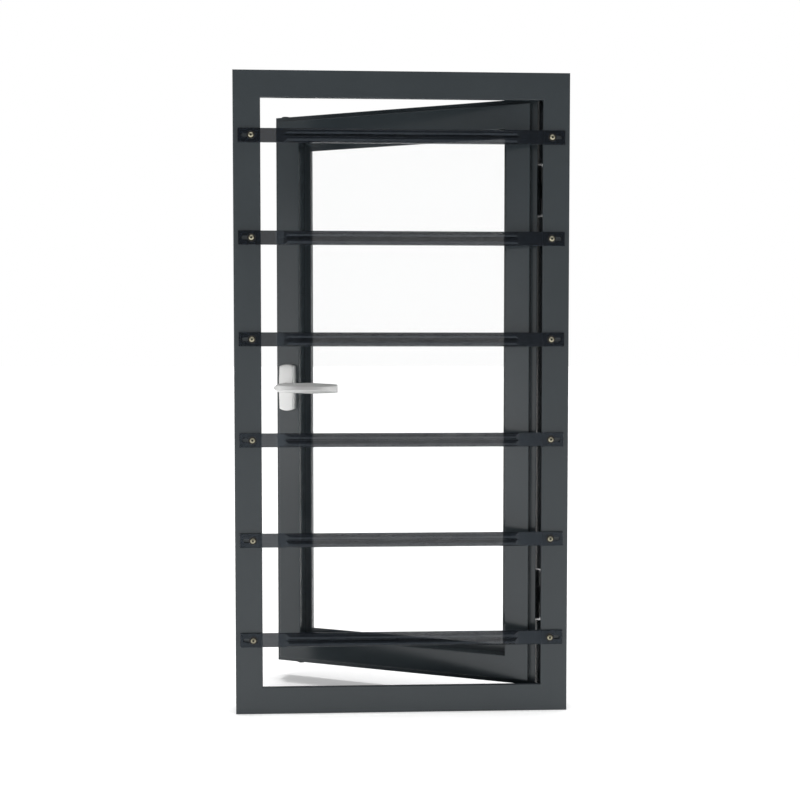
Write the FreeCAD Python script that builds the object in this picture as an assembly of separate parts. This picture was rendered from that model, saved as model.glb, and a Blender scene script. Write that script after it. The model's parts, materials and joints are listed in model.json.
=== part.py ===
import FreeCAD, Part
import math
import os

from FreeCAD import Vector

# Outward-opening casement window, seen from the room: +X right, +Y to the outside, +Z up.
# The geometry is drawn with the sash closed and y = 0 on the frame's room face. Saving turns the
# sash about its hinges to the opening angle, and puts the origin under the middle of the sill.

# Outer frame, an aluminium extrusion mitred at the corners
FRAME_WIDTH = 600.0
FRAME_HEIGHT = 1150.0
FRAME_DEPTH = 50.0
FRAME_FACE = 48.0           # width of the frame as seen from the room
FRAME_WALL = 2.0
NOSE_DEPTH = 8.0            # thickness of the nose that the sash closes behind
REBATE = 14.0               # how far the nose stands in front of the rebate wall
FRAME_EDGE_R = 1.0
FRAME_SEAL_W = 5.0
FRAME_SEAL_INSET = 1.5      # from the nose tip to the seal
SEAL_CORE_R = 1.2           # half the width of the seal's hollow core
SEAL_TIP_R = 2.4            # rounding of the seal's tip
SEAL_GAP = 0.3              # seal tip short of the closed sash

# Sash, an aluminium extrusion mitred at the corners
OPEN_ANGLE = 22.0           # degrees the sash stands open at rest
SASH_CLEAR = 2.5            # between the nose tip and the sash box
SASH_SETBACK = 1.0          # sash face behind the frame's room face
SASH_FACE = 43.0
SASH_WALL = 2.0
SASH_WEB = 1.8              # web and glazing upstand
FLANGE = 11.0               # flange that laps behind the frame's nose
FLANGE_BACK = 14.0          # flange behind the sash face
GLASS_REVEAL = 30.0         # upstand behind the sash face
UPSTAND = 11.5
UPSTAND_TIP_R = 0.6
SASH_EDGE_R = 1.0
LAP = 8.0                   # weather lap past the flange, over the frame's outer face
LAP_THICK = 2.2
LAP_NOTCH = 2.0             # notch in the lap past each end of a hinge

# Sealed double glazing, set from outside
PANE = 4.0
CAVITY = 6.0
GLAZING_SEAL = 2.0
GLAZING_SEAL_W = 5.0
OUTER_SEAL_W = 3.0
GLASS_EDGE_CLEAR = 3.0
SPACER_W = 5.0
SPACER_INSET = 1.0
BEAD_DEPTH = 5.2
BEAD_HEIGHT = 6.5
BEAD_BEVEL = 2.0
BLOCK_LENGTH = 60.0
BLOCK_SPACING = 200.0

# Corner cleats
SASH_CLEAT_LEG = 42.0
CLEAT_FIT = 0.2
CLEAT_SCREW_GAP = 1.0       # frame cleat's leg, at least, from the nearest keeper screw head
FRAME_CLEAT_DEPTH = 26.0

# Butt hinges on the outside
HINGE_INSET = 200.0         # frame edge to hinge centre
HINGE_HEIGHT = 90.0
HINGE_LEAF = 3.0
HINGE_LEAF_W = 28.0         # sash leaf, from its knuckle's clearance
HINGE_LEAF_EDGE = 4.0       # frame leaf's edge from the frame's outer edge
KNUCKLE_R = 6.5
KNUCKLE_GAP = 0.5
KNUCKLE_SIDE_GAP = 0.4
AXIS_PAST_REBATE = 2.0      # hinge axis past the rebate wall
AXIS_PAST_SASH = 1.0        # hinge axis behind the sash's back, at least
PIN_R = 3.5
PIN_FIT = 0.06
PIN_CAP_R = 5.0
PIN_CAP = 1.5
HINGE_SCREW_R = 2.0
HINGE_SCREW_HEAD_R = 3.9
HINGE_SCREW_HEAD = 1.9
HINGE_SCREW_LENGTH = 13.0
HINGE_SCREW_PITCH = 56.0
HINGE_SCREW_SPREAD = 10.0
SCREW_FIT = 0.05
SCREW_DRIVE = 0.6           # drive recess, as a share of the shank's radius and of the head's height
LEAF_CORNER_R = 3.0

# Security bars screwed across the room side of the frame
BAR_COUNT = 6
BAR_HEIGHT = 25.0
BAR_BASE = 4.0
BAR_DEPTH = 10.0
BAR_GROOVE = 1.0
BAR_EDGE = 0.8
BAR_END_INSET = 9.0         # bar end from the frame's outer edge
BAR_FIRST = 115.0           # centre of the top bar below the frame's top
BAR_LAST = 135.0            # centre of the bottom bar above the frame's underside
BAR_LAND = 80.0             # plain flat end of a bar
BAR_RUNOUT = 8.0            # slope between the flat end and the ribs
BAR_SCREW_INSET = 23.4      # screw from the bar end
SLOT_WIDTH = 7.0
SLOT_START = 5.4            # slot from the bar end
SLOT_END = 28.9
WASHER_R = 7.5
WASHER = 1.2
BAR_SCREW_R = 3.0
BAR_SCREW_LENGTH = 10.0
BAR_SCREW_HEAD_R = 5.7
BAR_SCREW_HEAD = 3.3
SOCKET_WIDTH = 4.0
SOCKET_DEPTH = 2.0

# Window handle
HANDLE_RISE = 9.0           # spindle above the frame's mid-height
HANDLE_LENGTH = 120.0       # spindle to the lever's end
LEVER_HEEL = 11.0           # lever behind the spindle
LEVER_STANDOFF = 45.0       # lever's middle from the sash face
LEVER_HEIGHT = 25.0
LEVER_DEPTH = 14.0
NECK_R = 9.5
NECK_FIT = 0.08
NECK_SEAT = 0.5             # neck's end inside the rose base
ROSE_WIDTH = 31.0
ROSE_HEIGHT = 90.0
ROSE_ARCH = 3.5             # rise of the arched ends
ROSE_DEPTH = 15.0
ROSE_WALL = 1.8
ROSE_EDGE_R = 1.4
ROSE_BASE = 4.0
ROSE_FIT = 0.2
HANDLE_SCREW_R = 2.5
HANDLE_SCREW_HEAD_R = 4.6
HANDLE_SCREW_SPACING = 43.0
SPINDLE = 7.0
SPINDLE_FIT = 0.05
HANDLE_PASS = 0.3           # clearance of screws through the sash face
FACE_HOLE_R = 8.0

# Shoot-bolt lock: a pinion on the spindle drives two toothed rods
MODULE = 1.5
LOCK_SIDE_GAP = 0.195       # lock case, at least, from each side of the sash chamber
PRESSURE = math.radians(20.0)
ADDENDUM = 0.8 * MODULE
DEDENDUM = 1.07 * MODULE
BACKLASH = 0.4
GEAR_WIDTH = 8.0
HUB_R = 7.0
HUB_FIT = 0.06
HUB_OUT = 0.5               # hub past the lock case
FLANK_STEPS = 4
RACK_SINK = 0.5             # rack tooth's root sunk into the rod
ROD_THICK = 4.2
ROD_WIDTH = 7.6
BOLT_R = 4.0
BOLT_LENGTH = 60.0
BOLT_REST = 1.0             # bolt tip inside the sash edge when unlocked
BOLT_FIT = 0.08
GUIDE_R = 6.0
GUIDE_FLANGE_R = 8.0
GUIDE_FLANGE = 1.5
GUIDE_LENGTH = 12.0
CASE_WALL = 1.5
CASE_GAP = 0.5
CASE_HEIGHT = 90.0
CASE_BACK = 1.5             # lock case from the web
POST_R = 4.5
KEEPER = 1.5
KEEPER_LENGTH = 36.0
KEEPER_WIDTH = 14.0
KEEPER_HOLE_R = 4.6
KEEPER_SCREW_SPACING = 22.0
KEEPER_SCREW_R = 1.6
KEEPER_SCREW_HEAD_R = 3.0
KEEPER_SCREW_LENGTH = 8.0
KEEPER_PASS = 0.6           # hole in the frame wall beyond the keeper's hole

# Fixing holes and drainage
FIXING_R = 4.1
FIXING_INSET = 150.0
DRAIN_LENGTH = 30.0
DRAIN_HEIGHT = 5.0
DRAIN_LEVEL = 12.0
DRAIN_SPACING = 300.0
DRAIN_CAP_MARGIN = 5.0
DRAIN_CAP = 4.0
DRAIN_CAP_WALL = 1.0

# Modelling allowances
OVERRUN = 20.0              # how far a member is drawn past its corner before the mitre
REACH = 120.0               # depth of the mitre cuts
THROUGH = 1.0               # how far a cutting tool passes the surface it opens
TOUCH = 0.2                 # how near a plane an edge lies to count as in it

# Places that follow from the sizes above
HALF = FRAME_WIDTH / 2
FRAME_RECT = (-HALF, HALF, 0.0, FRAME_HEIGHT)
SASH_HALF = HALF - FRAME_FACE - SASH_CLEAR
SASH_LOW = FRAME_FACE + SASH_CLEAR
SASH_HIGH = FRAME_HEIGHT - SASH_LOW
SASH_RECT = (-SASH_HALF, SASH_HALF, SASH_LOW, SASH_HIGH)
SASH_Y = SASH_SETBACK
FLANGE_Y = SASH_Y + FLANGE_BACK
WEB_Y = SASH_Y + GLASS_REVEAL
GLASS_Y = WEB_Y + SASH_WEB + GLAZING_SEAL
GLASS_BACK = GLASS_Y + 2 * PANE + CAVITY
BEAD_Y = GLASS_BACK + GLAZING_SEAL
SASH_BACK = BEAD_Y + BEAD_DEPTH
REBATE_WALL = FRAME_FACE - REBATE
HINGE_X = HALF - REBATE_WALL + AXIS_PAST_REBATE
HINGE_Y = max(FRAME_DEPTH + KNUCKLE_R + KNUCKLE_GAP, SASH_BACK + AXIS_PAST_SASH)
HINGE_LEVELS = {"bottom": HINGE_INSET, "top": FRAME_HEIGHT - HINGE_INSET}
SPINDLE_Z = FRAME_HEIGHT / 2 + HANDLE_RISE
SPINDLE_X = -SASH_HALF + SASH_FACE / 2
LOCK_ROOM = SASH_FACE / 2 - SASH_WALL - LOCK_SIDE_GAP - CASE_WALL - CASE_GAP
TEETH = int(2 * (LOCK_ROOM - ROD_THICK - DEDENDUM) / MODULE)
PITCH_R = MODULE * TEETH / 2
ROD_X = PITCH_R + DEDENDUM + ROD_THICK / 2
KEEPER_REACH = ROD_X + KEEPER_SCREW_SPACING / 2 + KEEPER_SCREW_HEAD_R
FRAME_CLEAT_LEG = int(HALF + SPINDLE_X - KEEPER_REACH - CLEAT_SCREW_GAP)
CASE_Y1 = WEB_Y - CASE_BACK
CASE_Y0 = CASE_Y1 - GEAR_WIDTH - 2 * (CASE_WALL + CASE_GAP)
GEAR_Y = CASE_Y0 + CASE_WALL + CASE_GAP
BOLT_Y = GEAR_Y + GEAR_WIDTH / 2
ROSE_FRONT = SASH_Y - ROSE_DEPTH
LEVER_Y = SASH_Y - LEVER_STANDOFF


def box(low, high):
    size = [b - a for a, b in zip(low, high)]
    return Part.makeBox(size[0], size[1], size[2], Vector(*low))


def cylinder(radius, start, run):
    run = Vector(*run)
    return Part.makeCylinder(radius, run.Length, Vector(*start), run)


def cone(radius_1, radius_2, start, run):
    run = Vector(*run)
    return Part.makeCone(radius_1, radius_2, run.Length, Vector(*start), run)


def outline(corners, radii=None):
    """Closed wire through the corners; a corner with a radius is turned by a tangent arc."""
    radii = radii or [0.0] * len(corners)
    edges = []
    joins = []
    for i, corner in enumerate(corners):
        to_last = (corners[i - 1] - corner).normalize()
        to_next = (corners[(i + 1) % len(corners)] - corner).normalize()
        if radii[i] == 0:
            joins.append((corner, None, corner))
            continue
        half = to_last.getAngle(to_next) / 2
        setback = radii[i] / math.tan(half)
        middle = (to_last + to_next).normalize() * (radii[i] / math.sin(half) - radii[i])
        joins.append((corner + to_last * setback, corner + middle, corner + to_next * setback))
    for i, (entry, middle, leave) in enumerate(joins):
        if middle is not None:
            edges.append(Part.Arc(entry, middle, leave).toShape())
        edges.append(Part.LineSegment(leave, joins[(i + 1) % len(joins)][0]).toShape())
    return Part.Wire(edges)


def prism(corners, run, radii=None):
    return Part.Face(outline(corners, radii)).extrude(run)


def section_run(rect, side, section, radii=None):
    """A section of (inward, depth) points carried along one side of the rectangle, past its corners."""
    x0, x1, z0, z1 = rect
    along_x = Vector(x1 - x0 + 2 * OVERRUN, 0, 0)
    along_z = Vector(0, 0, z1 - z0 + 2 * OVERRUN)
    place = {
        "left": lambda w, y: Vector(x0 + w, y, z0 - OVERRUN),
        "right": lambda w, y: Vector(x1 - w, y, z0 - OVERRUN),
        "bottom": lambda w, y: Vector(x0 - OVERRUN, y, z0 + w),
        "top": lambda w, y: Vector(x0 - OVERRUN, y, z1 - w),
    }[side]
    run = along_z if side in ("left", "right") else along_x
    return prism([place(w, y) for w, y in section], run, radii)


def mitre_mask(rect, side):
    """The wedge-ended block between the two 45 degree planes that bound one side of the rectangle."""
    x0, x1, z0, z1 = rect
    outer = {
        "left": ((x0, z0), (x0, z1)),
        "right": ((x1, z0), (x1, z1)),
        "bottom": ((x0, z0), (x1, z0)),
        "top": ((x0, z1), (x1, z1)),
    }[side]
    middle = ((x0 + x1) / 2, (z0 + z1) / 2)

    def slide(point, distance):
        toward_x = distance * math.copysign(1, middle[0] - point[0])
        toward_z = distance * math.copysign(1, middle[1] - point[1])
        return Vector(point[0] + toward_x, -REACH, point[1] + toward_z)

    corners = [slide(outer[0], -OVERRUN), slide(outer[1], -OVERRUN)]
    corners += [slide(outer[1], REACH), slide(outer[0], REACH)]
    return prism(corners, Vector(0, 3 * REACH, 0))


def member(rect, side, section, radii=None, cavities=()):
    """One mitred member of a rectangular ring."""
    solid = section_run(rect, side, section, radii)
    for cavity in cavities:
        solid = solid.cut(section_run(rect, side, cavity))
    return solid.common(mitre_mask(rect, side))


def flat_ring(rect, inset, width, y0, y1):
    """A flat rectangular ring, its outer edge inset from the rectangle."""
    x0, x1, z0, z1 = rect
    inner = inset + width
    outside = box((x0 + inset, y0, z0 + inset), (x1 - inset, y1, z1 - inset))
    hole = box((x0 + inner, y0 - THROUGH, z0 + inner), (x1 - inner, y1 + THROUGH, z1 - inner))
    return outside.cut(hole)


def countersunk_screw(centre, direction, radius, head_r, head, length):
    """A screw whose flat head starts at centre and whose shank runs in direction."""
    centre = Vector(*centre)
    run = Vector(*direction)
    top = cone(head_r, radius, centre, run * head)
    shank = cylinder(radius, centre + run * head, run * (length - head))
    recess = cylinder(radius * SCREW_DRIVE, centre, run * head * SCREW_DRIVE)
    return top.fuse(shank).removeSplitter().cut(recess)


def countersunk_hole(centre, direction, radius, head_r, head, length):
    """The cutting tool for a countersunk screw, larger all round by the screw fit."""
    centre = Vector(*centre)
    run = Vector(*direction)
    mouth = cylinder(head_r + SCREW_FIT, centre - run * THROUGH, run * THROUGH)
    top = cone(head_r + SCREW_FIT, radius + SCREW_FIT, centre, run * head)
    shank = cylinder(radius + SCREW_FIT, centre, run * length)
    return mouth.fuse(top).fuse(shank)


def rebate_section():
    """Frame section: a rectangular chamber with the nose standing into the opening."""
    return [
        (0, 0),
        (FRAME_FACE, 0),
        (FRAME_FACE, NOSE_DEPTH),
        (REBATE_WALL, NOSE_DEPTH),
        (REBATE_WALL, FRAME_DEPTH),
        (0, FRAME_DEPTH),
    ]


def rebate_cavity():
    wall = FRAME_WALL
    return [
        (wall, wall),
        (FRAME_FACE - wall, wall),
        (FRAME_FACE - wall, NOSE_DEPTH - wall),
        (REBATE_WALL - wall, NOSE_DEPTH - wall),
        (REBATE_WALL - wall, FRAME_DEPTH - wall),
        (wall, FRAME_DEPTH - wall),
    ]


def frame_member(side):
    edge = FRAME_EDGE_R
    radii = [edge, edge, edge, 0, edge, edge]
    return member(FRAME_RECT, side, rebate_section(), radii, [rebate_cavity()])


def bar_levels():
    pitch = (FRAME_HEIGHT - BAR_FIRST - BAR_LAST) / (BAR_COUNT - 1)
    return [FRAME_HEIGHT - BAR_FIRST - i * pitch for i in range(BAR_COUNT)]


def bar_screw_x():
    return HALF - BAR_END_INSET - BAR_SCREW_INSET


def bar_screw_holes(sign):
    tools = []
    for level in bar_levels():
        start = (sign * bar_screw_x(), -THROUGH, level)
        tools.append(cylinder(BAR_SCREW_R + SCREW_FIT, start, (0, FRAME_WALL + 2 * THROUGH, 0)))
    return tools


def fixing_holes(sign):
    tools = []
    for level in (FIXING_INSET, FRAME_HEIGHT - FIXING_INSET):
        start = (sign * (HALF + THROUGH), FRAME_DEPTH / 2, level)
        tools.append(cylinder(FIXING_R, start, (-sign * (REBATE_WALL + 2 * THROUGH), 0, 0)))
    return tools


def frame_jamb(side):
    sign = -1 if side == "left" else 1
    jamb = frame_member(side)
    tools = bar_screw_holes(sign) + fixing_holes(sign)
    if side == "right":
        tools += [hole for level in HINGE_LEVELS.values() for hole in frame_leaf_holes(level)]
    return jamb.cut(Part.makeCompound(tools))


def drain_places():
    return (-DRAIN_SPACING / 2, DRAIN_SPACING / 2)


def frame_sill():
    sill = frame_member("bottom")
    tools = [keeper_tool("bottom")]
    for x in drain_places():
        low = (x - DRAIN_LENGTH / 2, FRAME_DEPTH - FRAME_WALL - THROUGH, DRAIN_LEVEL)
        high = (x + DRAIN_LENGTH / 2, FRAME_DEPTH + THROUGH, DRAIN_LEVEL + DRAIN_HEIGHT)
        tools.append(box(low, high))
        inlet_y = FRAME_DEPTH - 2 * FRAME_WALL - DRAIN_HEIGHT
        low = (x - DRAIN_LENGTH / 2, inlet_y, REBATE_WALL - FRAME_WALL - THROUGH)
        high = (x + DRAIN_LENGTH / 2, inlet_y + DRAIN_HEIGHT, REBATE_WALL + THROUGH)
        tools.append(box(low, high))
    return sill.cut(Part.makeCompound(tools))


def drain_caps():
    """Hoods over the drain slots on the outside of the sill, open underneath."""
    caps = []
    for x in drain_places():
        half = DRAIN_LENGTH / 2 + DRAIN_CAP_MARGIN
        low_z = DRAIN_LEVEL - DRAIN_CAP_MARGIN
        high_z = DRAIN_LEVEL + DRAIN_HEIGHT + DRAIN_CAP_MARGIN
        back = FRAME_DEPTH
        corners = [
            Vector(x - half, back, low_z),
            Vector(x - half, back + DRAIN_CAP, low_z),
            Vector(x - half, back + DRAIN_CAP, high_z - DRAIN_CAP),
            Vector(x - half, back, high_z),
        ]
        hood = prism(corners, Vector(2 * half, 0, 0))
        wall = DRAIN_CAP_WALL
        low = (x - half + wall, back - THROUGH, low_z - THROUGH)
        high = (x + half - wall, back + DRAIN_CAP - wall, high_z - DRAIN_CAP - wall)
        caps.append(hood.cut(box(low, high)))
    return Part.makeCompound(caps)


def frame_seal():
    """Bulb seal on the back of the nose, just short of the closed sash's flange."""
    outer = FRAME_FACE - FRAME_SEAL_INSET
    inner = outer - FRAME_SEAL_W
    tip = FLANGE_Y - SEAL_GAP
    section = [(inner, NOSE_DEPTH), (outer, NOSE_DEPTH), (outer, tip), (inner, tip)]
    radii = [0, 0, SEAL_TIP_R, SEAL_TIP_R]
    centre = (inner + outer) / 2
    core_y = (NOSE_DEPTH + tip) / 2
    core = [
        (centre - SEAL_CORE_R, core_y - SEAL_CORE_R),
        (centre + SEAL_CORE_R, core_y - SEAL_CORE_R),
        (centre + SEAL_CORE_R, core_y + SEAL_CORE_R),
        (centre - SEAL_CORE_R, core_y + SEAL_CORE_R),
    ]
    sides = ("left", "right", "bottom", "top")
    return Part.makeCompound([member(FRAME_RECT, side, section, radii, [core]) for side in sides])


def corner_cleats(rect, leg, w0, w1, y0, y1):
    """Four L-shaped corner blocks inside the mitred chambers."""
    x0, x1, z0, z1 = rect
    cleats = []
    for x, sign_x in ((x0, 1), (x1, -1)):
        for z, sign_z in ((z0, 1), (z1, -1)):
            legs = []
            for reach_x, reach_z in ((leg, w1), (w1, leg)):
                xs = sorted((x + sign_x * w0, x + sign_x * reach_x))
                zs = sorted((z + sign_z * w0, z + sign_z * reach_z))
                legs.append(box((xs[0], y0, zs[0]), (xs[1], y1, zs[1])))
            cleats.append(legs[0].fuse(legs[1]).removeSplitter())
    return Part.makeCompound(cleats)


def frame_cleats():
    w0 = FRAME_WALL + CLEAT_FIT
    w1 = REBATE_WALL - FRAME_WALL - CLEAT_FIT
    y0 = (FRAME_DEPTH - FRAME_CLEAT_DEPTH) / 2
    return corner_cleats(FRAME_RECT, FRAME_CLEAT_LEG, w0, w1, y0, y0 + FRAME_CLEAT_DEPTH)


def security_bar(level):
    """A flat strip with two rounded ribs on its room side, plain and slotted at both ends."""
    half = HALF - BAR_END_INSET
    low = (-half, -BAR_BASE, level - BAR_HEIGHT / 2)
    high = (half, 0, level + BAR_HEIGHT / 2)
    bar = box(low, high)
    rib_half = half - BAR_LAND
    rib_width = (BAR_HEIGHT - BAR_GROOVE) / 2 - BAR_EDGE
    for sign in (-1, 1):
        z0 = level + sign * BAR_GROOVE / 2
        z1 = z0 + sign * rib_width
        start = Vector(-rib_half, -BAR_BASE, z0)
        end = Vector(-rib_half, -BAR_BASE, z1)
        crest = Vector(-rib_half, -BAR_DEPTH, (z0 + z1) / 2)
        arc = Part.Arc(start, crest, end).toShape()
        chord = Part.LineSegment(end, start).toShape()
        rib = Part.Face(Part.Wire([arc, chord])).extrude(Vector(2 * rib_half, 0, 0))
        bar = bar.fuse(rib)
    mask = prism(
        [
            Vector(-half, 0, level - BAR_HEIGHT),
            Vector(-half, -BAR_BASE, level - BAR_HEIGHT),
            Vector(-rib_half, -BAR_BASE, level - BAR_HEIGHT),
            Vector(-rib_half + BAR_RUNOUT, -BAR_DEPTH, level - BAR_HEIGHT),
            Vector(rib_half - BAR_RUNOUT, -BAR_DEPTH, level - BAR_HEIGHT),
            Vector(rib_half, -BAR_BASE, level - BAR_HEIGHT),
            Vector(half, -BAR_BASE, level - BAR_HEIGHT),
            Vector(half, 0, level - BAR_HEIGHT),
        ],
        Vector(0, 0, 2 * BAR_HEIGHT),
    )
    bar = bar.common(mask).removeSplitter()
    return bar.cut(Part.makeCompound([bar_slot(level, sign) for sign in (-1, 1)]))


def bar_slot(level, sign):
    radius = SLOT_WIDTH / 2
    half = HALF - BAR_END_INSET
    run = (0, BAR_BASE + 2 * THROUGH, 0)
    xs = [half - SLOT_START - radius, half - SLOT_END + radius]
    ends = [cylinder(radius, (sign * x, -BAR_BASE - THROUGH, level), run) for x in xs]
    x_low, x_high = sorted(sign * x for x in xs)
    low = (x_low, -BAR_BASE - THROUGH, level - radius)
    high = (x_high, THROUGH, level + radius)
    return box(low, high).fuse(ends[0]).fuse(ends[1])


def bar_fastener_places():
    return [(sign * bar_screw_x(), level) for level in bar_levels() for sign in (-1, 1)]


def bar_washers():
    washers = []
    for x, level in bar_fastener_places():
        disc = cylinder(WASHER_R, (x, -BAR_BASE - WASHER, level), (0, WASHER, 0))
        hole = cylinder(BAR_SCREW_R + SCREW_FIT, (x, -BAR_BASE - WASHER, level), (0, WASHER, 0))
        washers.append(disc.cut(hole))
    return Part.makeCompound(washers)


def bar_screws():
    """Button-head screws: a shallow dome with a six-sided socket, on a plain shank."""
    screws = []
    seat = -BAR_BASE - WASHER
    dome_r = (BAR_SCREW_HEAD_R ** 2 + BAR_SCREW_HEAD ** 2) / (2 * BAR_SCREW_HEAD)
    for x, level in bar_fastener_places():
        ball = Part.makeSphere(dome_r, Vector(x, seat - BAR_SCREW_HEAD + dome_r, level))
        disc = cylinder(BAR_SCREW_HEAD_R, (x, seat, level), (0, -BAR_SCREW_HEAD, 0))
        head = ball.common(disc)
        shank = cylinder(BAR_SCREW_R, (x, seat, level), (0, BAR_SCREW_LENGTH, 0))
        corners = []
        for i in range(6):
            angle = math.radians(60 * i)
            corner_r = SOCKET_WIDTH / math.sqrt(3)
            dx, dz = corner_r * math.cos(angle), corner_r * math.sin(angle)
            corners.append(Vector(x + dx, seat - BAR_SCREW_HEAD - THROUGH, level + dz))
        socket = prism(corners, Vector(0, SOCKET_DEPTH + THROUGH, 0))
        screws.append(head.fuse(shank).removeSplitter().cut(socket))
    return Part.makeCompound(screws)


def sash_section():
    """Sash section: a box at the room side, the flange behind the nose with its weather lap, and
    the glazing upstand."""
    return [
        (0, SASH_Y),
        (SASH_FACE, SASH_Y),
        (SASH_FACE, WEB_Y),
        (SASH_FACE + UPSTAND, WEB_Y),
        (SASH_FACE + UPSTAND, WEB_Y + SASH_WEB),
        (SASH_FACE, WEB_Y + SASH_WEB),
        (SASH_FACE, SASH_BACK),
        (-FLANGE - LAP, SASH_BACK),
        (-FLANGE - LAP, SASH_BACK - LAP_THICK),
        (-FLANGE, SASH_BACK - LAP_THICK),
        (-FLANGE, FLANGE_Y),
        (0, FLANGE_Y),
    ]


def sash_cavities():
    wall = SASH_WALL
    lock_chamber = [
        (wall, SASH_Y + wall),
        (SASH_FACE - wall, SASH_Y + wall),
        (SASH_FACE - wall, WEB_Y),
        (wall - FLANGE, WEB_Y),
        (wall - FLANGE, FLANGE_Y + wall),
        (wall, FLANGE_Y + wall),
    ]
    cleat_chamber = [
        (wall - FLANGE, WEB_Y + SASH_WEB),
        (SASH_FACE - wall, WEB_Y + SASH_WEB),
        (SASH_FACE - wall, SASH_BACK - wall),
        (wall - FLANGE, SASH_BACK - wall),
    ]
    return [lock_chamber, cleat_chamber]


def sash_member(side):
    edge = SASH_EDGE_R
    tip = UPSTAND_TIP_R
    radii = [edge, edge, 0, tip, tip, 0, edge, tip, tip, 0, edge, 0]
    return member(SASH_RECT, side, sash_section(), radii, sash_cavities())


def sash_rail(side):
    """Top or bottom rail, with the hole that the bolt guide sits in."""
    x, z, up = bolt_exit(side)
    run = (0, 0, -up * (SASH_WALL + 2 * THROUGH))
    return sash_member(side).cut(cylinder(GUIDE_R + SCREW_FIT, (x, BOLT_Y, z + up * THROUGH), run))


def sash_stile(side):
    stile = sash_member(side)
    if side == "right":
        tools = [hole for level in HINGE_LEVELS.values() for hole in sash_leaf_holes(level)]
        tools += [lap_notch(level) for level in HINGE_LEVELS.values()]
        return stile.cut(Part.makeCompound(tools))
    run = (0, SASH_WALL + 2 * THROUGH, 0)
    holes = [cylinder(FACE_HOLE_R, (SPINDLE_X, SASH_Y - THROUGH, SPINDLE_Z), run)]
    for level in handle_screw_levels():
        start = (SPINDLE_X, SASH_Y - THROUGH, level)
        holes.append(cylinder(HANDLE_SCREW_R + HANDLE_PASS, start, run))
    return stile.cut(Part.makeCompound(holes))


def lap_notch(level):
    """The length of lap that is cut away for a hinge's knuckles."""
    half = HINGE_HEIGHT / 2 + PIN_CAP + LAP_NOTCH
    x0 = SASH_HALF + FLANGE
    low = (x0, SASH_BACK - LAP_THICK - THROUGH, level - half)
    return box(low, (x0 + LAP + THROUGH, SASH_BACK + THROUGH, level + half))


def sash_cleats():
    w0 = SASH_WALL - FLANGE + CLEAT_FIT
    w1 = SASH_FACE - SASH_WALL - CLEAT_FIT
    y0 = WEB_Y + SASH_WEB + CLEAT_FIT
    y1 = SASH_BACK - SASH_WALL - CLEAT_FIT
    return corner_cleats(SASH_RECT, SASH_CLEAT_LEG, w0, (w0 + w1) / 2, y0, y1)


def glass_rect():
    x0, x1, z0, z1 = SASH_RECT
    inset = SASH_FACE + GLASS_EDGE_CLEAR
    return x0 + inset, x1 - inset, z0 + inset, z1 - inset


def pane(y0):
    x0, x1, z0, z1 = glass_rect()
    return box((x0, y0, z0), (x1, y0 + PANE, z1))


def glazing_seal(y0, width, cover):
    """A flat gasket of that width, its inner edge level with the upstand or bead that covers it."""
    inset = SASH_FACE + cover - width
    return flat_ring(SASH_RECT, inset, width, y0, y0 + GLAZING_SEAL)


def bead(side):
    inner = SASH_FACE + BEAD_HEIGHT
    section = [
        (SASH_FACE, BEAD_Y),
        (inner, BEAD_Y),
        (inner, SASH_BACK - BEAD_BEVEL),
        (inner - BEAD_BEVEL, SASH_BACK),
        (SASH_FACE, SASH_BACK),
    ]
    return member(SASH_RECT, side, section)


def setting_blocks():
    """Packers that carry the glass unit on the bottom rail."""
    z0 = SASH_LOW + SASH_FACE
    blocks = []
    for x in (-BLOCK_SPACING / 2, BLOCK_SPACING / 2):
        low = (x - BLOCK_LENGTH / 2, GLASS_Y, z0)
        blocks.append(box(low, (x + BLOCK_LENGTH / 2, GLASS_BACK, z0 + GLASS_EDGE_CLEAR)))
    return Part.makeCompound(blocks)


def hinge_thirds(level):
    """Heights of the three knuckles, with a gap between neighbours."""
    third = HINGE_HEIGHT / 3
    base = level - HINGE_HEIGHT / 2
    gap = KNUCKLE_SIDE_GAP / 2
    edges = [(base, base + third - gap), (base + third + gap, base + 2 * third - gap)]
    return edges + [(base + 2 * third + gap, base + HINGE_HEIGHT)]


def leaf_plate(x0, x1, y0, level):
    z0 = level - HINGE_HEIGHT / 2
    corners = [Vector(x0, y0, z0), Vector(x1, y0, z0)]
    corners += [Vector(x1, y0, z0 + HINGE_HEIGHT), Vector(x0, y0, z0 + HINGE_HEIGHT)]
    return prism(corners, Vector(0, HINGE_LEAF, 0), [LEAF_CORNER_R] * 4)


def knuckle(z0, z1):
    return cylinder(KNUCKLE_R, (HINGE_X, HINGE_Y, z0), (0, 0, z1 - z0))


def pin_bore(level):
    z0 = level - HINGE_HEIGHT / 2 - THROUGH
    return cylinder(PIN_R + PIN_FIT, (HINGE_X, HINGE_Y, z0), (0, 0, HINGE_HEIGHT + 2 * THROUGH))


def leaf_screws(x, y, level):
    """Places of a leaf's four screws: centre on the leaf's outer face."""
    half_x, half_z = HINGE_SCREW_SPREAD / 2, HINGE_SCREW_PITCH / 2
    pairs = [(-half_x, -half_z), (half_x, -half_z), (-half_x, half_z), (half_x, half_z)]
    return [(x + dx, y + HINGE_LEAF, level + dz) for dx, dz in pairs]


def frame_leaf_span():
    """The frame leaf's plate, from clear of the knuckles to near the jamb's outer edge."""
    return HINGE_X + KNUCKLE_R + KNUCKLE_GAP, HALF - HINGE_LEAF_EDGE


def frame_leaf_screws(level):
    x0, x1 = frame_leaf_span()
    return leaf_screws((x0 + x1) / 2, FRAME_DEPTH, level)


def sash_leaf_screws(level):
    x = HINGE_X - KNUCKLE_R - KNUCKLE_GAP - HINGE_LEAF_W / 2
    return leaf_screws(x, SASH_BACK, level)


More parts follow.
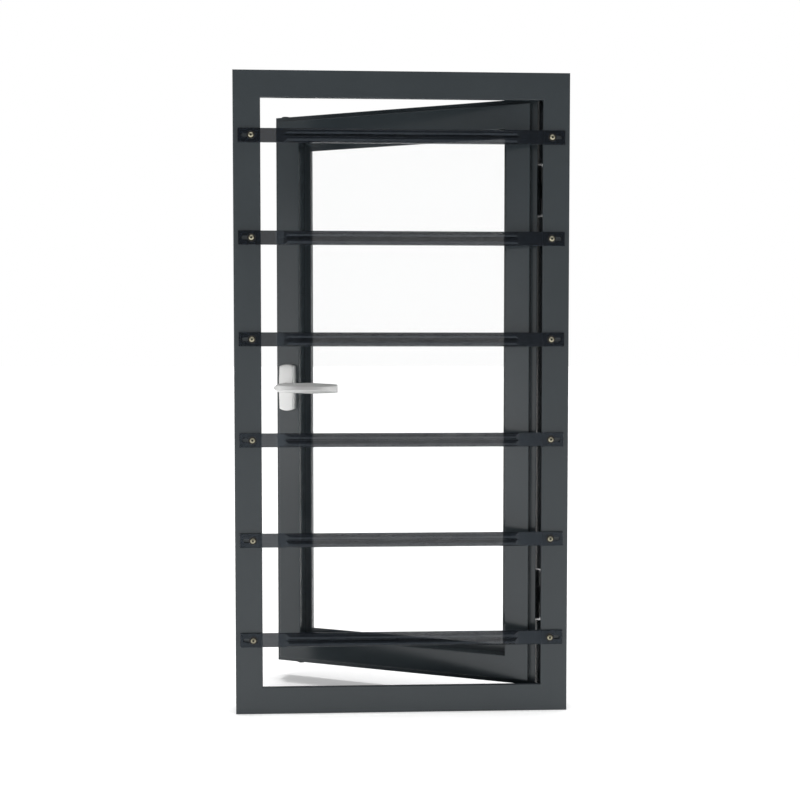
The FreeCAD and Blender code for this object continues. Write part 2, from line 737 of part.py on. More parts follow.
def screw_tool(centre):
    size = (HINGE_SCREW_R, HINGE_SCREW_HEAD_R, HINGE_SCREW_HEAD, HINGE_SCREW_LENGTH)
    return countersunk_hole(centre, (0, -1, 0), *size)


def frame_leaf_holes(level):
    return [screw_tool(centre) for centre in frame_leaf_screws(level)]


def sash_leaf_holes(level):
    return [screw_tool(centre) for centre in sash_leaf_screws(level)]


def hinge_frame_leaf(level):
    """Fixed leaf: plate on the jamb's outer face, carrying the top and bottom knuckles."""
    x0, x1 = frame_leaf_span()
    leaf = leaf_plate(x0, x1, FRAME_DEPTH, level)
    bottom, _, top = hinge_thirds(level)
    for z0, z1 in (bottom, top):
        tongue = box((HINGE_X, FRAME_DEPTH, z0), (x0 + LEAF_CORNER_R, FRAME_DEPTH + HINGE_LEAF, z1))
        upright = box((HINGE_X, FRAME_DEPTH, z0), (HINGE_X + KNUCKLE_R, HINGE_Y, z1))
        leaf = leaf.fuse([tongue, upright, knuckle(z0, z1)])
    leaf = leaf.removeSplitter().cut(pin_bore(level))
    return leaf.cut(Part.makeCompound(frame_leaf_holes(level)))


def hinge_sash_leaf(level):
    """Moving leaf: plate on the stile's outer face, carrying the middle knuckle."""
    x1 = HINGE_X - KNUCKLE_R - KNUCKLE_GAP
    leaf = leaf_plate(x1 - HINGE_LEAF_W, x1, SASH_BACK, level)
    _, (z0, z1), _ = hinge_thirds(level)
    reach = HINGE_X - AXIS_PAST_REBATE - KNUCKLE_GAP
    tongue = box((x1 - LEAF_CORNER_R, SASH_BACK, z0), (reach, SASH_BACK + HINGE_LEAF, z1))
    upright = box((HINGE_X - KNUCKLE_R, SASH_BACK, z0), (reach, HINGE_Y + HINGE_LEAF / 2, z1))
    leaf = leaf.fuse([tongue, upright, knuckle(z0, z1)]).removeSplitter().cut(pin_bore(level))
    return leaf.cut(Part.makeCompound(sash_leaf_holes(level)))


def hinge_pin(level):
    z0 = level - HINGE_HEIGHT / 2
    pin = cylinder(PIN_R, (HINGE_X, HINGE_Y, z0 - PIN_CAP), (0, 0, HINGE_HEIGHT + 2 * PIN_CAP))
    for z in (z0 - PIN_CAP, z0 + HINGE_HEIGHT):
        pin = pin.fuse(cylinder(PIN_CAP_R, (HINGE_X, HINGE_Y, z), (0, 0, PIN_CAP)))
    return pin.removeSplitter()


def hinge_screws(places):
    size = (HINGE_SCREW_R, HINGE_SCREW_HEAD_R, HINGE_SCREW_HEAD, HINGE_SCREW_LENGTH)
    return Part.makeCompound([countersunk_screw(place, (0, -1, 0), *size) for place in places])


def handle_screw_levels():
    return [SPINDLE_Z + sign * HANDLE_SCREW_SPACING / 2 for sign in (-1, 1)]


def rose_outline(shrink, y):
    """The rose's outline at depth y: straight sides joined by arched ends, inset by shrink."""
    half_w = ROSE_WIDTH / 2 - shrink
    half_h = ROSE_HEIGHT / 2 - shrink
    shoulder = half_h - ROSE_ARCH
    corners = [Vector(SPINDLE_X + sx * half_w, y, SPINDLE_Z + sz * shoulder)
               for sx, sz in ((-1, -1), (1, -1), (1, 1), (-1, 1))]
    foot = Part.Arc(corners[0], Vector(SPINDLE_X, y, SPINDLE_Z - half_h), corners[1]).toShape()
    head = Part.Arc(corners[2], Vector(SPINDLE_X, y, SPINDLE_Z + half_h), corners[3]).toShape()
    right = Part.LineSegment(corners[1], corners[2]).toShape()
    left = Part.LineSegment(corners[3], corners[0]).toShape()
    return Part.Face(Part.Wire([foot, right, head, left]))


def neck_bore():
    depth = ROSE_DEPTH + 2 * THROUGH
    return cylinder(NECK_R + NECK_FIT, (SPINDLE_X, ROSE_FRONT - THROUGH, SPINDLE_Z), (0, depth, 0))


def rose_cover():
    """Thin shell with arched ends that snaps over the rose base."""
    block = rose_outline(0, SASH_Y).extrude(Vector(0, -ROSE_DEPTH, 0))
    rim = [edge for edge in block.Edges if abs(edge.CenterOfMass.y - ROSE_FRONT) < TOUCH]
    block = block.makeFillet(ROSE_EDGE_R, rim)
    hollow = rose_outline(ROSE_WALL, SASH_Y + THROUGH)
    hollow = hollow.extrude(Vector(0, ROSE_WALL - ROSE_DEPTH - THROUGH, 0))
    return block.cut(hollow).cut(neck_bore())


def handle_screw_tool(level):
    start = (SPINDLE_X, SASH_Y - ROSE_BASE, level)
    head = HANDLE_SCREW_HEAD_R - HANDLE_SCREW_R
    length = CASE_Y1 - CASE_WALL - start[1]
    return start, (0, 1, 0), HANDLE_SCREW_R, HANDLE_SCREW_HEAD_R, head, length


def rose_base():
    plate = rose_outline(ROSE_WALL + ROSE_FIT, SASH_Y).extrude(Vector(0, -ROSE_BASE, 0))
    holes = [countersunk_hole(*handle_screw_tool(level)) for level in handle_screw_levels()]
    return plate.cut(neck_bore()).cut(Part.makeCompound(holes))


def handle_screws():
    screws = [countersunk_screw(*handle_screw_tool(level)) for level in handle_screw_levels()]
    return Part.makeCompound(screws)


def lever_ring(x, half_height, half_depth):
    """An elliptical section of the lever, square to X."""
    ellipse = Part.Ellipse(Vector(0, 0, 0), half_height, half_depth).toShape()
    ellipse.rotate(Vector(0, 0, 0), Vector(0, 1, 0), 90)
    ellipse.translate(Vector(SPINDLE_X + x, LEVER_Y, SPINDLE_Z))
    return Part.Wire([ellipse])


def handle_lever():
    """Lever lofted through elliptical sections, with a round neck that turns in the rose."""
    tall = LEVER_HEIGHT / 2
    deep = LEVER_DEPTH / 2
    stations = [
        (-LEVER_HEEL, 0.34, 0.34),
        (0.0, 0.74, 0.95),
        (0.25 * HANDLE_LENGTH, 0.84, 1.0),
        (0.5 * HANDLE_LENGTH, 1.0, 0.95),
        (0.78 * HANDLE_LENGTH, 0.9, 0.85),
        (HANDLE_LENGTH, 0.78, 0.7),
    ]
    rings = [lever_ring(x, tall * high, deep * thick) for x, high, thick in stations]
    grip = Part.makeLoft(rings, True, False)
    neck_end = SASH_Y - ROSE_BASE + NECK_SEAT
    neck = cylinder(NECK_R, (SPINDLE_X, LEVER_Y, SPINDLE_Z), (0, neck_end - LEVER_Y, 0))
    return grip.fuse(neck).removeSplitter().cut(square_bar(LEVER_Y, neck_end + THROUGH, SPINDLE_FIT))


def square_bar(y0, y1, fit=0.0):
    half = SPINDLE / 2 + fit
    return box((SPINDLE_X - half, y0, SPINDLE_Z - half), (SPINDLE_X + half, y1, SPINDLE_Z + half))


def handle_spindle():
    return square_bar(LEVER_Y, CASE_Y1)


def tooth_half_angle(radius):
    """Half the angle of a tooth at a radius, from the involute of the base circle."""
    base_r = PITCH_R * math.cos(PRESSURE)
    angle = math.acos(min(1.0, base_r / max(radius, base_r)))
    at_pitch = (math.pi * MODULE / 2 - BACKLASH / 2) / (2 * PITCH_R)
    return at_pitch + math.tan(PRESSURE) - PRESSURE - (math.tan(angle) - angle)


def pinion():
    """Spur pinion with a tooth towards -X, journals at both ends and a square bore."""
    base_r = PITCH_R * math.cos(PRESSURE)
    tip_r = PITCH_R + ADDENDUM
    steps = [base_r + (tip_r - base_r) * i / FLANK_STEPS for i in range(FLANK_STEPS + 1)]
    radii = [PITCH_R - DEDENDUM] + steps
    corners = []
    for tooth in range(TEETH):
        middle = math.pi + 2 * math.pi * tooth / TEETH
        flank = [(r, middle - tooth_half_angle(r)) for r in radii]
        flank += [(r, middle + tooth_half_angle(r)) for r in reversed(radii)]
        corners += [
            Vector(SPINDLE_X + r * math.cos(a), GEAR_Y, SPINDLE_Z + r * math.sin(a)) for r, a in flank
        ]
    gear = prism(corners, Vector(0, GEAR_WIDTH, 0))
    front, back = CASE_Y0 - HUB_OUT, CASE_Y1 + HUB_OUT
    journals = [
        cylinder(HUB_R, (SPINDLE_X, front, SPINDLE_Z), (0, GEAR_Y - front, 0)),
        cylinder(HUB_R, (SPINDLE_X, back, SPINDLE_Z), (0, GEAR_Y + GEAR_WIDTH - back, 0)),
    ]
    bore = square_bar(front - THROUGH, back + THROUGH, SPINDLE_FIT)
    return gear.fuse(journals).removeSplitter().cut(bore)


def bolt_exit(side):
    """Where a bolt leaves the sash: x, the sash edge's height, and +1 up or -1 down."""
    if side == "top":
        return SPINDLE_X - ROD_X, SASH_HIGH + FLANGE, 1
    return SPINDLE_X + ROD_X, SASH_LOW - FLANGE, -1


def rack_tooth(centre_z, side_sign):
    """A straight-sided rack tooth pointing at the spindle, its middle at centre_z."""
    root = PITCH_R + DEDENDUM + RACK_SINK
    tip = PITCH_R - ADDENDUM
    half_pitch = (math.pi * MODULE / 2 - BACKLASH / 2) / 2
    half_root = half_pitch + (root - PITCH_R) * math.tan(PRESSURE)
    half_tip = half_pitch - (PITCH_R - tip) * math.tan(PRESSURE)
    points = [(root, -half_root), (tip, -half_tip), (tip, half_tip), (root, half_root)]
    y0 = BOLT_Y - ROD_WIDTH / 2
    corners = [Vector(SPINDLE_X + side_sign * r, y0, centre_z + dz) for r, dz in points]
    return prism(corners, Vector(0, ROD_WIDTH, 0))


def shoot_bolt(side):
    """Toothed rod with a round bolt at its end. The upper one meshes at -X, the lower at +X.

    The pinion has a tooth at -X, so the upper rack has a gap there. At +X it has a tooth only
    if its teeth are even in number, and the lower rack is a gap or a tooth to match."""
    x, edge, up = bolt_exit(side)
    pitch = math.pi * MODULE
    faces_tooth = side == "top" or TEETH % 2 == 0
    phase = 0.5 if faces_tooth else 0.0
    stroke_teeth = math.ceil(TEETH / 4)
    indices = range(-stroke_teeth - 1, 2)
    centres = [SPINDLE_Z + up * (i + phase) * pitch for i in indices]
    rack_end = min(centres) - pitch if up > 0 else max(centres) + pitch
    tip = edge - up * BOLT_REST
    shoulder = tip - up * (BOLT_LENGTH - ROD_WIDTH)
    zs = sorted((rack_end, shoulder))
    half_t = ROD_THICK / 2
    half_w = ROD_WIDTH / 2
    rod = box((x - half_t, BOLT_Y - half_w, zs[0]), (x + half_t, BOLT_Y + half_w, zs[1]))
    side_sign = math.copysign(1, x - SPINDLE_X)
    for centre_z in centres:
        rod = rod.fuse(rack_tooth(centre_z, side_sign))
    bolt = cylinder(BOLT_R, (x, BOLT_Y, tip - up * BOLT_LENGTH), (0, 0, up * BOLT_LENGTH))
    return rod.fuse(bolt).removeSplitter()


def bolt_guides():
    """Flanged bushes in the sash edges that the bolts slide in."""
    guides = []
    for side in ("top", "bottom"):
        x, z, up = bolt_exit(side)
        flange = cylinder(GUIDE_FLANGE_R, (x, BOLT_Y, z), (0, 0, up * GUIDE_FLANGE))
        sleeve = cylinder(GUIDE_R, (x, BOLT_Y, z), (0, 0, -up * GUIDE_LENGTH))
        bore_start = (x, BOLT_Y, z + up * (GUIDE_FLANGE + THROUGH))
        bore_run = (0, 0, -up * (GUIDE_LENGTH + GUIDE_FLANGE + 2 * THROUGH))
        bore = cylinder(BOLT_R + BOLT_FIT, bore_start, bore_run)
        guides.append(flange.fuse(sleeve).removeSplitter().cut(bore))
    return Part.makeCompound(guides)


def gearbox_case():
    """Lock case around the pinion and racks, with journals, screw posts and rod slots."""
    rod_back = PITCH_R + DEDENDUM + ROD_THICK
    half_x = rod_back + CASE_GAP + CASE_WALL
    half_z = CASE_HEIGHT / 2
    low = (SPINDLE_X - half_x, CASE_Y0, SPINDLE_Z - half_z)
    high = (SPINDLE_X + half_x, CASE_Y1, SPINDLE_Z + half_z)
    case = box(low, high)
    inner_low = [value + CASE_WALL for value in low]
    inner_high = [value - CASE_WALL for value in high]
    case = case.cut(box(inner_low, inner_high))
    for level in handle_screw_levels():
        post_start = (SPINDLE_X, CASE_Y0 + CASE_WALL / 2, level)
        case = case.fuse(cylinder(POST_R, post_start, (0, CASE_Y1 - CASE_Y0 - CASE_WALL, 0)))
    tools = [countersunk_hole(*handle_screw_tool(level)) for level in handle_screw_levels()]
    journal = (SPINDLE_X, CASE_Y0 - THROUGH, SPINDLE_Z)
    tools.append(cylinder(HUB_R + HUB_FIT, journal, (0, CASE_Y1 - CASE_Y0 + 2 * THROUGH, 0)))
    for side in ("top", "bottom"):
        x, _, up = bolt_exit(side)
        half_t = ROD_THICK / 2 + CASE_GAP
        half_w = ROD_WIDTH / 2 + CASE_GAP
        zs = sorted((SPINDLE_Z + up * (half_z - CASE_WALL - THROUGH), SPINDLE_Z + up * (half_z + THROUGH)))
        tools.append(box((x - half_t, BOLT_Y - half_w, zs[0]), (x + half_t, BOLT_Y + half_w, zs[1])))
    return case.removeSplitter().cut(Part.makeCompound(tools))


def keeper_seat(side):
    """Height of the rebate face that a keeper sits on."""
    return FRAME_HEIGHT - REBATE_WALL if side == "top" else REBATE_WALL


def keeper_screw_places(side):
    x, _, up = bolt_exit(side)
    seat = keeper_seat(side)
    half = KEEPER_SCREW_SPACING / 2
    return [(x + sign * half, BOLT_Y, seat - up * KEEPER) for sign in (-1, 1)]


def keeper_screw_size():
    head = KEEPER_SCREW_HEAD_R - KEEPER_SCREW_R
    return KEEPER_SCREW_R, KEEPER_SCREW_HEAD_R, head, KEEPER_SCREW_LENGTH


def keeper_tool(side):
    """What a keeper needs cut in the head or sill: the bolt's pass hole and two screw holes."""
    x, _, up = bolt_exit(side)
    seat = keeper_seat(side)
    start = (x, BOLT_Y, seat - up * THROUGH)
    tools = [cylinder(KEEPER_HOLE_R + KEEPER_PASS, start, (0, 0, up * (FRAME_WALL + 2 * THROUGH)))]
    for centre in keeper_screw_places(side):
        tools.append(countersunk_hole(centre, (0, 0, up), *keeper_screw_size()))
    return Part.makeCompound(tools)


def keeper(side):
    x, _, up = bolt_exit(side)
    seat = keeper_seat(side)
    zs = sorted((seat, seat - up * KEEPER))
    half_x, half_y = KEEPER_LENGTH / 2, KEEPER_WIDTH / 2
    plate = box((x - half_x, BOLT_Y - half_y, zs[0]), (x + half_x, BOLT_Y + half_y, zs[1]))
    hole_start = (x, BOLT_Y, zs[0] - THROUGH)
    tools = [cylinder(KEEPER_HOLE_R, hole_start, (0, 0, KEEPER + 2 * THROUGH))]
    for centre in keeper_screw_places(side):
        tools.append(countersunk_hole(centre, (0, 0, up), *keeper_screw_size()))
    return plate.cut(Part.makeCompound(tools))


def keeper_screws():
    screws = []
    for side in ("top", "bottom"):
        up = bolt_exit(side)[2]
        for centre in keeper_screw_places(side):
            screws.append(countersunk_screw(centre, (0, 0, up), *keeper_screw_size()))
    return Part.makeCompound(screws)


def frame_head():
    return frame_member("top").cut(keeper_tool("top"))


def save(name, shape, on_sash=False):
    """Write one node, with the sash's pieces turned open about the hinge axis."""
    shape = shape.copy()
    if on_sash:
        shape.rotate(Vector(HINGE_X, HINGE_Y, 0), Vector(0, 0, 1), -OPEN_ANGLE)
    shape.translate(Vector(0, -FRAME_DEPTH / 2, 0))
    if len(shape.Solids) > 1:
        shape = Part.makeCompound(shape.Solids)
    elif shape.ShapeType != "Solid":
        shape = shape.Solids[0]
    if not shape.isValid():
        raise RuntimeError(name + " is not a valid solid")
    shape.exportStep("parts/" + name + ".step")
    print("%-24s %2d solid(s) %12.1f mm3" % (name, len(shape.Solids), shape.Volume))


def save_frame():
    save("frame_head", frame_head())
    save("frame_sill", frame_sill())
    save("frame_jamb_lock_side", frame_jamb("left"))
    save("frame_jamb_hinge_side", frame_jamb("right"))
    save("frame_corner_cleats", frame_cleats())
    save("frame_seal", frame_seal())
    save("drain_caps", drain_caps())
    for side in ("top", "bottom"):
        save("bolt_keeper_" + side, keeper(side))
    save("keeper_screws", keeper_screws())
    for name, level in HINGE_LEVELS.items():
        save("hinge_frame_leaf_" + name, hinge_frame_leaf(level))
        save("hinge_pin_" + name, hinge_pin(level))
    places = [place for level in HINGE_LEVELS.values() for place in frame_leaf_screws(level)]
    save("hinge_frame_screws", hinge_screws(places))


def save_bars():
    for number, level in enumerate(bar_levels(), start=1):
        save("security_bar_%d" % number, security_bar(level))
    save("bar_washers", bar_washers())
    save("bar_screws", bar_screws())


def save_sash():
    save("sash_top_rail", sash_rail("top"), True)
    save("sash_bottom_rail", sash_rail("bottom"), True)
    save("sash_lock_stile", sash_stile("left"), True)
    save("sash_hinge_stile", sash_stile("right"), True)
    save("sash_corner_cleats", sash_cleats(), True)
    save("glass_inner_pane", pane(GLASS_Y), True)
    save("glass_outer_pane", pane(GLASS_BACK - PANE), True)
    spacer = flat_ring(glass_rect(), SPACER_INSET, SPACER_W, GLASS_Y + PANE, GLASS_BACK - PANE)
    save("glass_spacer", spacer, True)
    inner_seal = glazing_seal(WEB_Y + SASH_WEB, GLAZING_SEAL_W, UPSTAND)
    save("glazing_seal_inner", inner_seal, True)
    save("glazing_seal_outer", glazing_seal(GLASS_BACK, OUTER_SEAL_W, BEAD_HEIGHT), True)
    for name, side in (("top", "top"), ("bottom", "bottom"), ("lock_side", "left"), ("hinge_side", "right")):
        save("glazing_bead_" + name, bead(side), True)
    save("setting_blocks", setting_blocks(), True)
    for name, level in HINGE_LEVELS.items():
        save("hinge_sash_leaf_" + name, hinge_sash_leaf(level), True)
    places = [place for level in HINGE_LEVELS.values() for place in sash_leaf_screws(level)]
    save("hinge_sash_screws", hinge_screws(places), True)


def save_lock():
    save("lock_gearbox_case", gearbox_case(), True)
    save("bolt_guides", bolt_guides(), True)
    save("handle_rose_base", rose_base(), True)
    save("handle_rose_cover", rose_cover(), True)
    save("handle_screws", handle_screws(), True)
    save("handle_lever", handle_lever(), True)
    save("handle_spindle", handle_spindle(), True)
    save("handle_pinion", pinion(), True)
    save("shoot_bolt_upper", shoot_bolt("top"), True)
    save("shoot_bolt_lower", shoot_bolt("bottom"), True)


os.makedirs("parts", exist_ok=True)
save_frame()
save_bars()
save_sash()
save_lock()
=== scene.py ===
import json
import math

import bmesh
import bpy
import numpy as np
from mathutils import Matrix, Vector


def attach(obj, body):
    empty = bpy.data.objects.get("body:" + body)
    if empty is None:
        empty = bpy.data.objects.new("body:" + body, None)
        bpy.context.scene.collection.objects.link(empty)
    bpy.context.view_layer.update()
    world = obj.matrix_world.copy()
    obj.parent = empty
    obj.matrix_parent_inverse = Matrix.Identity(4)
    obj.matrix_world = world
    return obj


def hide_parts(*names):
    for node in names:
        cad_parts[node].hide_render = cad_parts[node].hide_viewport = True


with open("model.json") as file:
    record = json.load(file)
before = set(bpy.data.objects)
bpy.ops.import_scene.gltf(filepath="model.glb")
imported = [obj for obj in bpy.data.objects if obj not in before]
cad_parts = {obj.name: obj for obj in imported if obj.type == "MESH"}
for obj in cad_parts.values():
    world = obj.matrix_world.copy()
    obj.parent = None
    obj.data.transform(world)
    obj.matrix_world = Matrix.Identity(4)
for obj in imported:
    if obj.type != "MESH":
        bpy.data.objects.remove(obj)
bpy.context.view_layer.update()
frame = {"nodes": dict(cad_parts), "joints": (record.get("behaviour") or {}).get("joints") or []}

nodes = frame["nodes"]
scene = bpy.context.scene
MM = 0.001

# ---------------------------------------------------------------- studio
# A white product studio: a pale floor that runs out to a white background, a soft light overhead
# for the floor, a broad softbox at the left, a long one overhead, and a dim fill.


def linear(hex_colour):
    """Linear RGBA of an sRGB hex colour: each channel c is c / 12.92 below 0.04045, and
    otherwise ((c + 0.055) / 1.055) to the power 2.4."""
    rgb = [int(hex_colour[i:i + 2], 16) / 255 for i in (1, 3, 5)]
    return [c / 12.92 if c <= 0.04045 else ((c + 0.055) / 1.055) ** 2.4 for c in rgb] + [1.0]


def add_node(tree, kind, settings=None, **sockets):
    """Adds one node with its settings, and gives each named input a value or a link. An
    underscore in a name stands for a space, and _3 means the input numbered 3."""
    node = tree.nodes.new(kind)
    for name, value in (settings or {}).items():
        setattr(node, name, value)
    for name, value in sockets.items():
        key = int(name[1:]) if name[0] == "_" else name.replace("_", " ")
        if isinstance(value, bpy.types.NodeSocket):
            tree.links.new(value, node.inputs[key])
        else:
            node.inputs[key].default_value = value
    return node


scene.view_settings.view_transform = "Standard"

CAMERA_PLACE = (-0.0933, -2.025, 0.6473)
CAMERA_YAW = 0.0445
CAMERA_DIP = 0.0403
LENS = 50.27
camera_data = bpy.data.cameras.new("camera")
camera_data.sensor_width = 36.0
camera_data.lens = LENS
camera = bpy.data.objects.new("camera", camera_data)
scene.collection.objects.link(camera)
camera.location = CAMERA_PLACE
camera.rotation_euler = (math.pi / 2 - CAMERA_DIP, 0.0, -CAMERA_YAW)
scene.camera = camera

FLOOR_HALF = 60.0
FLOOR_DROP = 0.0005
floor_mesh = bpy.data.meshes.new("floor")
floor_mesh.from_pydata(
    [(-FLOOR_HALF, -FLOOR_HALF, -FLOOR_DROP), (FLOOR_HALF, -FLOOR_HALF, -FLOOR_DROP),
     (FLOOR_HALF, FLOOR_HALF, -FLOOR_DROP), (-FLOOR_HALF, FLOOR_HALF, -FLOOR_DROP)],
    [], [(0, 1, 2, 3)])
floor = bpy.data.objects.new("floor", floor_mesh)
scene.collection.objects.link(floor)

# Matt white studio floor, with no gloss and lit a little from beneath, so that it stays white out
# to the horizon and shadows on it stay faint.
FLOOR_GLOW = 0.30
floor_paint = bpy.data.materials.new("matt_white_studio_paint")
floor_paint.use_nodes = True
floor_shader = floor_paint.node_tree.nodes["Principled BSDF"]
floor_shader.inputs["Base Color"].default_value = linear("#F6F6F6")
floor_shader.inputs["Roughness"].default_value = 1.0
floor_shader.inputs["Specular IOR Level"].default_value = 0.0
floor_shader.inputs["Emission Color"].default_value = (1.0, 1.0, 1.0, 1.0)
floor_shader.inputs["Emission Strength"].default_value = FLOOR_GLOW
floor_mesh.materials.append(floor_paint)

# The world is white where the lens sees it. The light that it throws falls off with height.
FILL_LOW = 0.44
FILL_HIGH = 0.16
world = bpy.data.worlds.new("studio")
scene.world = world
world.use_nodes = True
sky = world.node_tree
sky.nodes.clear()
height = add_node(sky, "ShaderNodeSeparateXYZ",
                  Vector=add_node(sky, "ShaderNodeTexCoord").outputs["Generated"])
fill = add_node(sky, "ShaderNodeMapRange", Value=height.outputs["Z"],
                To_Min=FILL_LOW, To_Max=FILL_HIGH)
seen = add_node(sky, "ShaderNodeBackground", Color=(1.0, 1.0, 1.0, 1.0), Strength=1.0)
thrown = add_node(sky, "ShaderNodeBackground", Color=(1.0, 1.0, 1.0, 1.0), Strength=fill.outputs[0])
ray = add_node(sky, "ShaderNodeLightPath")
backdrop = add_node(sky, "ShaderNodeMixShader", _0=ray.outputs["Is Camera Ray"],
                    _1=thrown.outputs[0], _2=seen.outputs[0])
add_node(sky, "ShaderNodeOutputWorld", Surface=backdrop.outputs[0])

# Whitens the floor. Gloss doesn't see it, so it leaves no hot spot on the coatings.
OVERHEAD_POWER = 2.4
OVERHEAD_SPREAD = math.radians(24)
overhead_data = bpy.data.lights.new("overhead_light", "SUN")
overhead_data.energy = OVERHEAD_POWER
overhead_data.angle = OVERHEAD_SPREAD
overhead = bpy.data.objects.new("overhead_light", overhead_data)
scene.collection.objects.link(overhead)
overhead.visible_glossy = False


def softbox(name, place, target, width, height, watts):
    """A rectangular area light at a place, turned to face a target."""
    data = bpy.data.lights.new(name, "AREA")
    data.shape = "RECTANGLE"
    data.size = width
    data.size_y = height
    data.energy = watts
    box = bpy.data.objects.new(name, data)
    scene.collection.objects.link(box)
    box.location = place
    box.rotation_euler = (Vector(target) - Vector(place)).to_track_quat("-Z", "Y").to_euler()
    return box


# Mirrored by the lock stile and the rose.
softbox("left_softbox", place=(-2.6, -2.0, 0.68), target=(-0.2, 0.0, 0.6),
        width=2.4, height=1.2, watts=7.0)
# Draws the lights along the tops of the bars' ribs.
softbox("overhead_softbox", place=(-0.1, -0.5, 3.6), target=(-0.1, -0.4, 0.6),
        width=4.0, height=1.0, watts=14.0)

# ---------------------------------------------------------------- outer frame
# Four aluminium extrusions with a rebate, sawn at 45 degrees and crimped onto hidden corner
# cleats, then sprayed with anthracite polyester powder and baked. Screwed into the wall opening.

ANTHRACITE = "#31383C"
PEEL_PITCH = 1.8 * MM
DRIFT_PITCH = 160 * MM
COAT_DARK = 0.93
COAT_LIGHT = 1.07
COAT_IOR = 1.5


def powder_coat(name, colour, roughness, peel):
    """Baked polyester powder. Colour is the hex colour, 7 % lighter or darker as a slow noise
    drifts; roughness is its mean plus or minus 12 % by the same noise; height is a fine noise,
    the orange peel of the cured powder."""
    material = bpy.data.materials.new(name)
    material.use_nodes = True
    tree = material.node_tree
    tree.nodes.clear()
    place = add_node(tree, "ShaderNodeTexCoord").outputs["Object"]
    drift = add_node(tree, "ShaderNodeTexNoise", Vector=place, Scale=1 / DRIFT_PITCH, Detail=3.0)
    grain = add_node(tree, "ShaderNodeTexNoise", Vector=place, Scale=1 / PEEL_PITCH, Detail=2.0)
    both = add_node(tree, "ShaderNodeMath", {"operation": "MULTIPLY_ADD"},
                    _0=grain.outputs["Fac"], _1=0.4, _2=drift.outputs["Fac"])
    share = add_node(tree, "ShaderNodeMapRange", Value=both.outputs[0], From_Min=0.5, From_Max=0.9)
    dark = [COAT_DARK * c for c in linear(colour)[:3]] + [1.0]
    light = [COAT_LIGHT * c for c in linear(colour)[:3]] + [1.0]
    tone = add_node(tree, "ShaderNodeMix", {"data_type": "RGBA"},
                    _0=share.outputs[0], _6=dark, _7=light)
    gloss = add_node(tree, "ShaderNodeMapRange", Value=drift.outputs["Fac"], From_Min=0.3,
                     From_Max=0.7, To_Min=0.88 * roughness, To_Max=1.12 * roughness)
    bump = add_node(tree, "ShaderNodeBump", Strength=peel, Distance=0.05 * MM,
                    Height=grain.outputs["Fac"])
    shader = add_node(tree, "ShaderNodeBsdfPrincipled", Base_Color=tone.outputs[2],
                      Roughness=gloss.outputs[0], Normal=bump.outputs[0])
    shader.inputs["IOR"].default_value = COAT_IOR
    add_node(tree, "ShaderNodeOutputMaterial", Surface=shader.outputs[0])
    return material


def dress(material, *names):
    """Gives CAD nodes a material in place of their own."""
    for name in names:
        mesh = nodes[name].data
        mesh.materials.clear()
        mesh.materials.append(material)


# Fine satin powder coat: soft wide highlights and a faint orange peel.
frame_coat = powder_coat("polyester_powder_coat_satin", ANTHRACITE, roughness=0.36, peel=0.25)
dress(frame_coat, "frame_head", "frame_sill", "frame_jamb_lock_side", "frame_jamb_hinge_side")

# ---------------------------------------------------------------- corner cleats
# L-shaped blocks sawn from an aluminium extrusion, left bare, pushed into the chambers at each
# corner of the frame and of the sash.

SAW_PITCH = 0.7 * MM
METAL_DARK = 0.91
METAL_LIGHT = 1.09
EVEN = (1.0, 1.0, 1.0)
DRAWN_ALONG_Z = (1.0, 1.0, 0.05)


def bare_metal(name, colour, roughness, pitch, stretch, depth):
    """Metal with a directional or cloudy finish. Colour is the hex colour, 9 % lighter or darker
    by a noise stretched along the three axes; roughness follows the same noise by a quarter;
    height is the noise itself."""
    material = bpy.data.materials.new(name)
    material.use_nodes = True
    tree = material.node_tree
    tree.nodes.clear()
    place = add_node(tree, "ShaderNodeTexCoord").outputs["Object"]
    long_way = add_node(tree, "ShaderNodeMapping", Vector=place, Scale=stretch)
    grain = add_node(tree, "ShaderNodeTexNoise", Vector=long_way.outputs[0],
                     Scale=1 / pitch, Detail=3.0)
    dark = [METAL_DARK * c for c in linear(colour)[:3]] + [1.0]
    light = [min(1.0, METAL_LIGHT * c) for c in linear(colour)[:3]] + [1.0]
    tone = add_node(tree, "ShaderNodeMix", {"data_type": "RGBA"},
                    _0=grain.outputs["Fac"], _6=dark, _7=light)
    gloss = add_node(tree, "ShaderNodeMapRange", Value=grain.outputs["Fac"], From_Min=0.3,
                     From_Max=0.7, To_Min=0.8 * roughness, To_Max=1.2 * roughness)
    bump = add_node(tree, "ShaderNodeBump", Strength=0.3, Distance=depth,
                    Height=grain.outputs["Fac"])
    shader = add_node(tree, "ShaderNodeBsdfPrincipled", Base_Color=tone.outputs[2],
                      Roughness=gloss.outputs[0], Normal=bump.outputs[0])
    shader.inputs["Metallic"].default_value = 1.0
    add_node(tree, "ShaderNodeOutputMaterial", Surface=shader.outputs[0])
    return material


# Mill-finish extruded aluminium: dull silver with long die lines.
mill_aluminium = bare_metal("aluminium_mill_finish", "#B9BABD", roughness=0.42, pitch=SAW_PITCH,
                            stretch=DRAWN_ALONG_Z, depth=0.03 * MM)
dress(mill_aluminium, "frame_corner_cleats", "sash_corner_cleats")

# ---------------------------------------------------------------- frame seal and drain caps
# A black EPDM bulb seal pushed into the back of the frame's nose, and two nylon hoods clipped
# over the drain slots on the outside of the sill.

RUBBER_GRAIN = 0.6 * MM
NYLON_GRAIN = 0.9 * MM
POLYMER_DARK = 0.88
POLYMER_LIGHT = 1.12


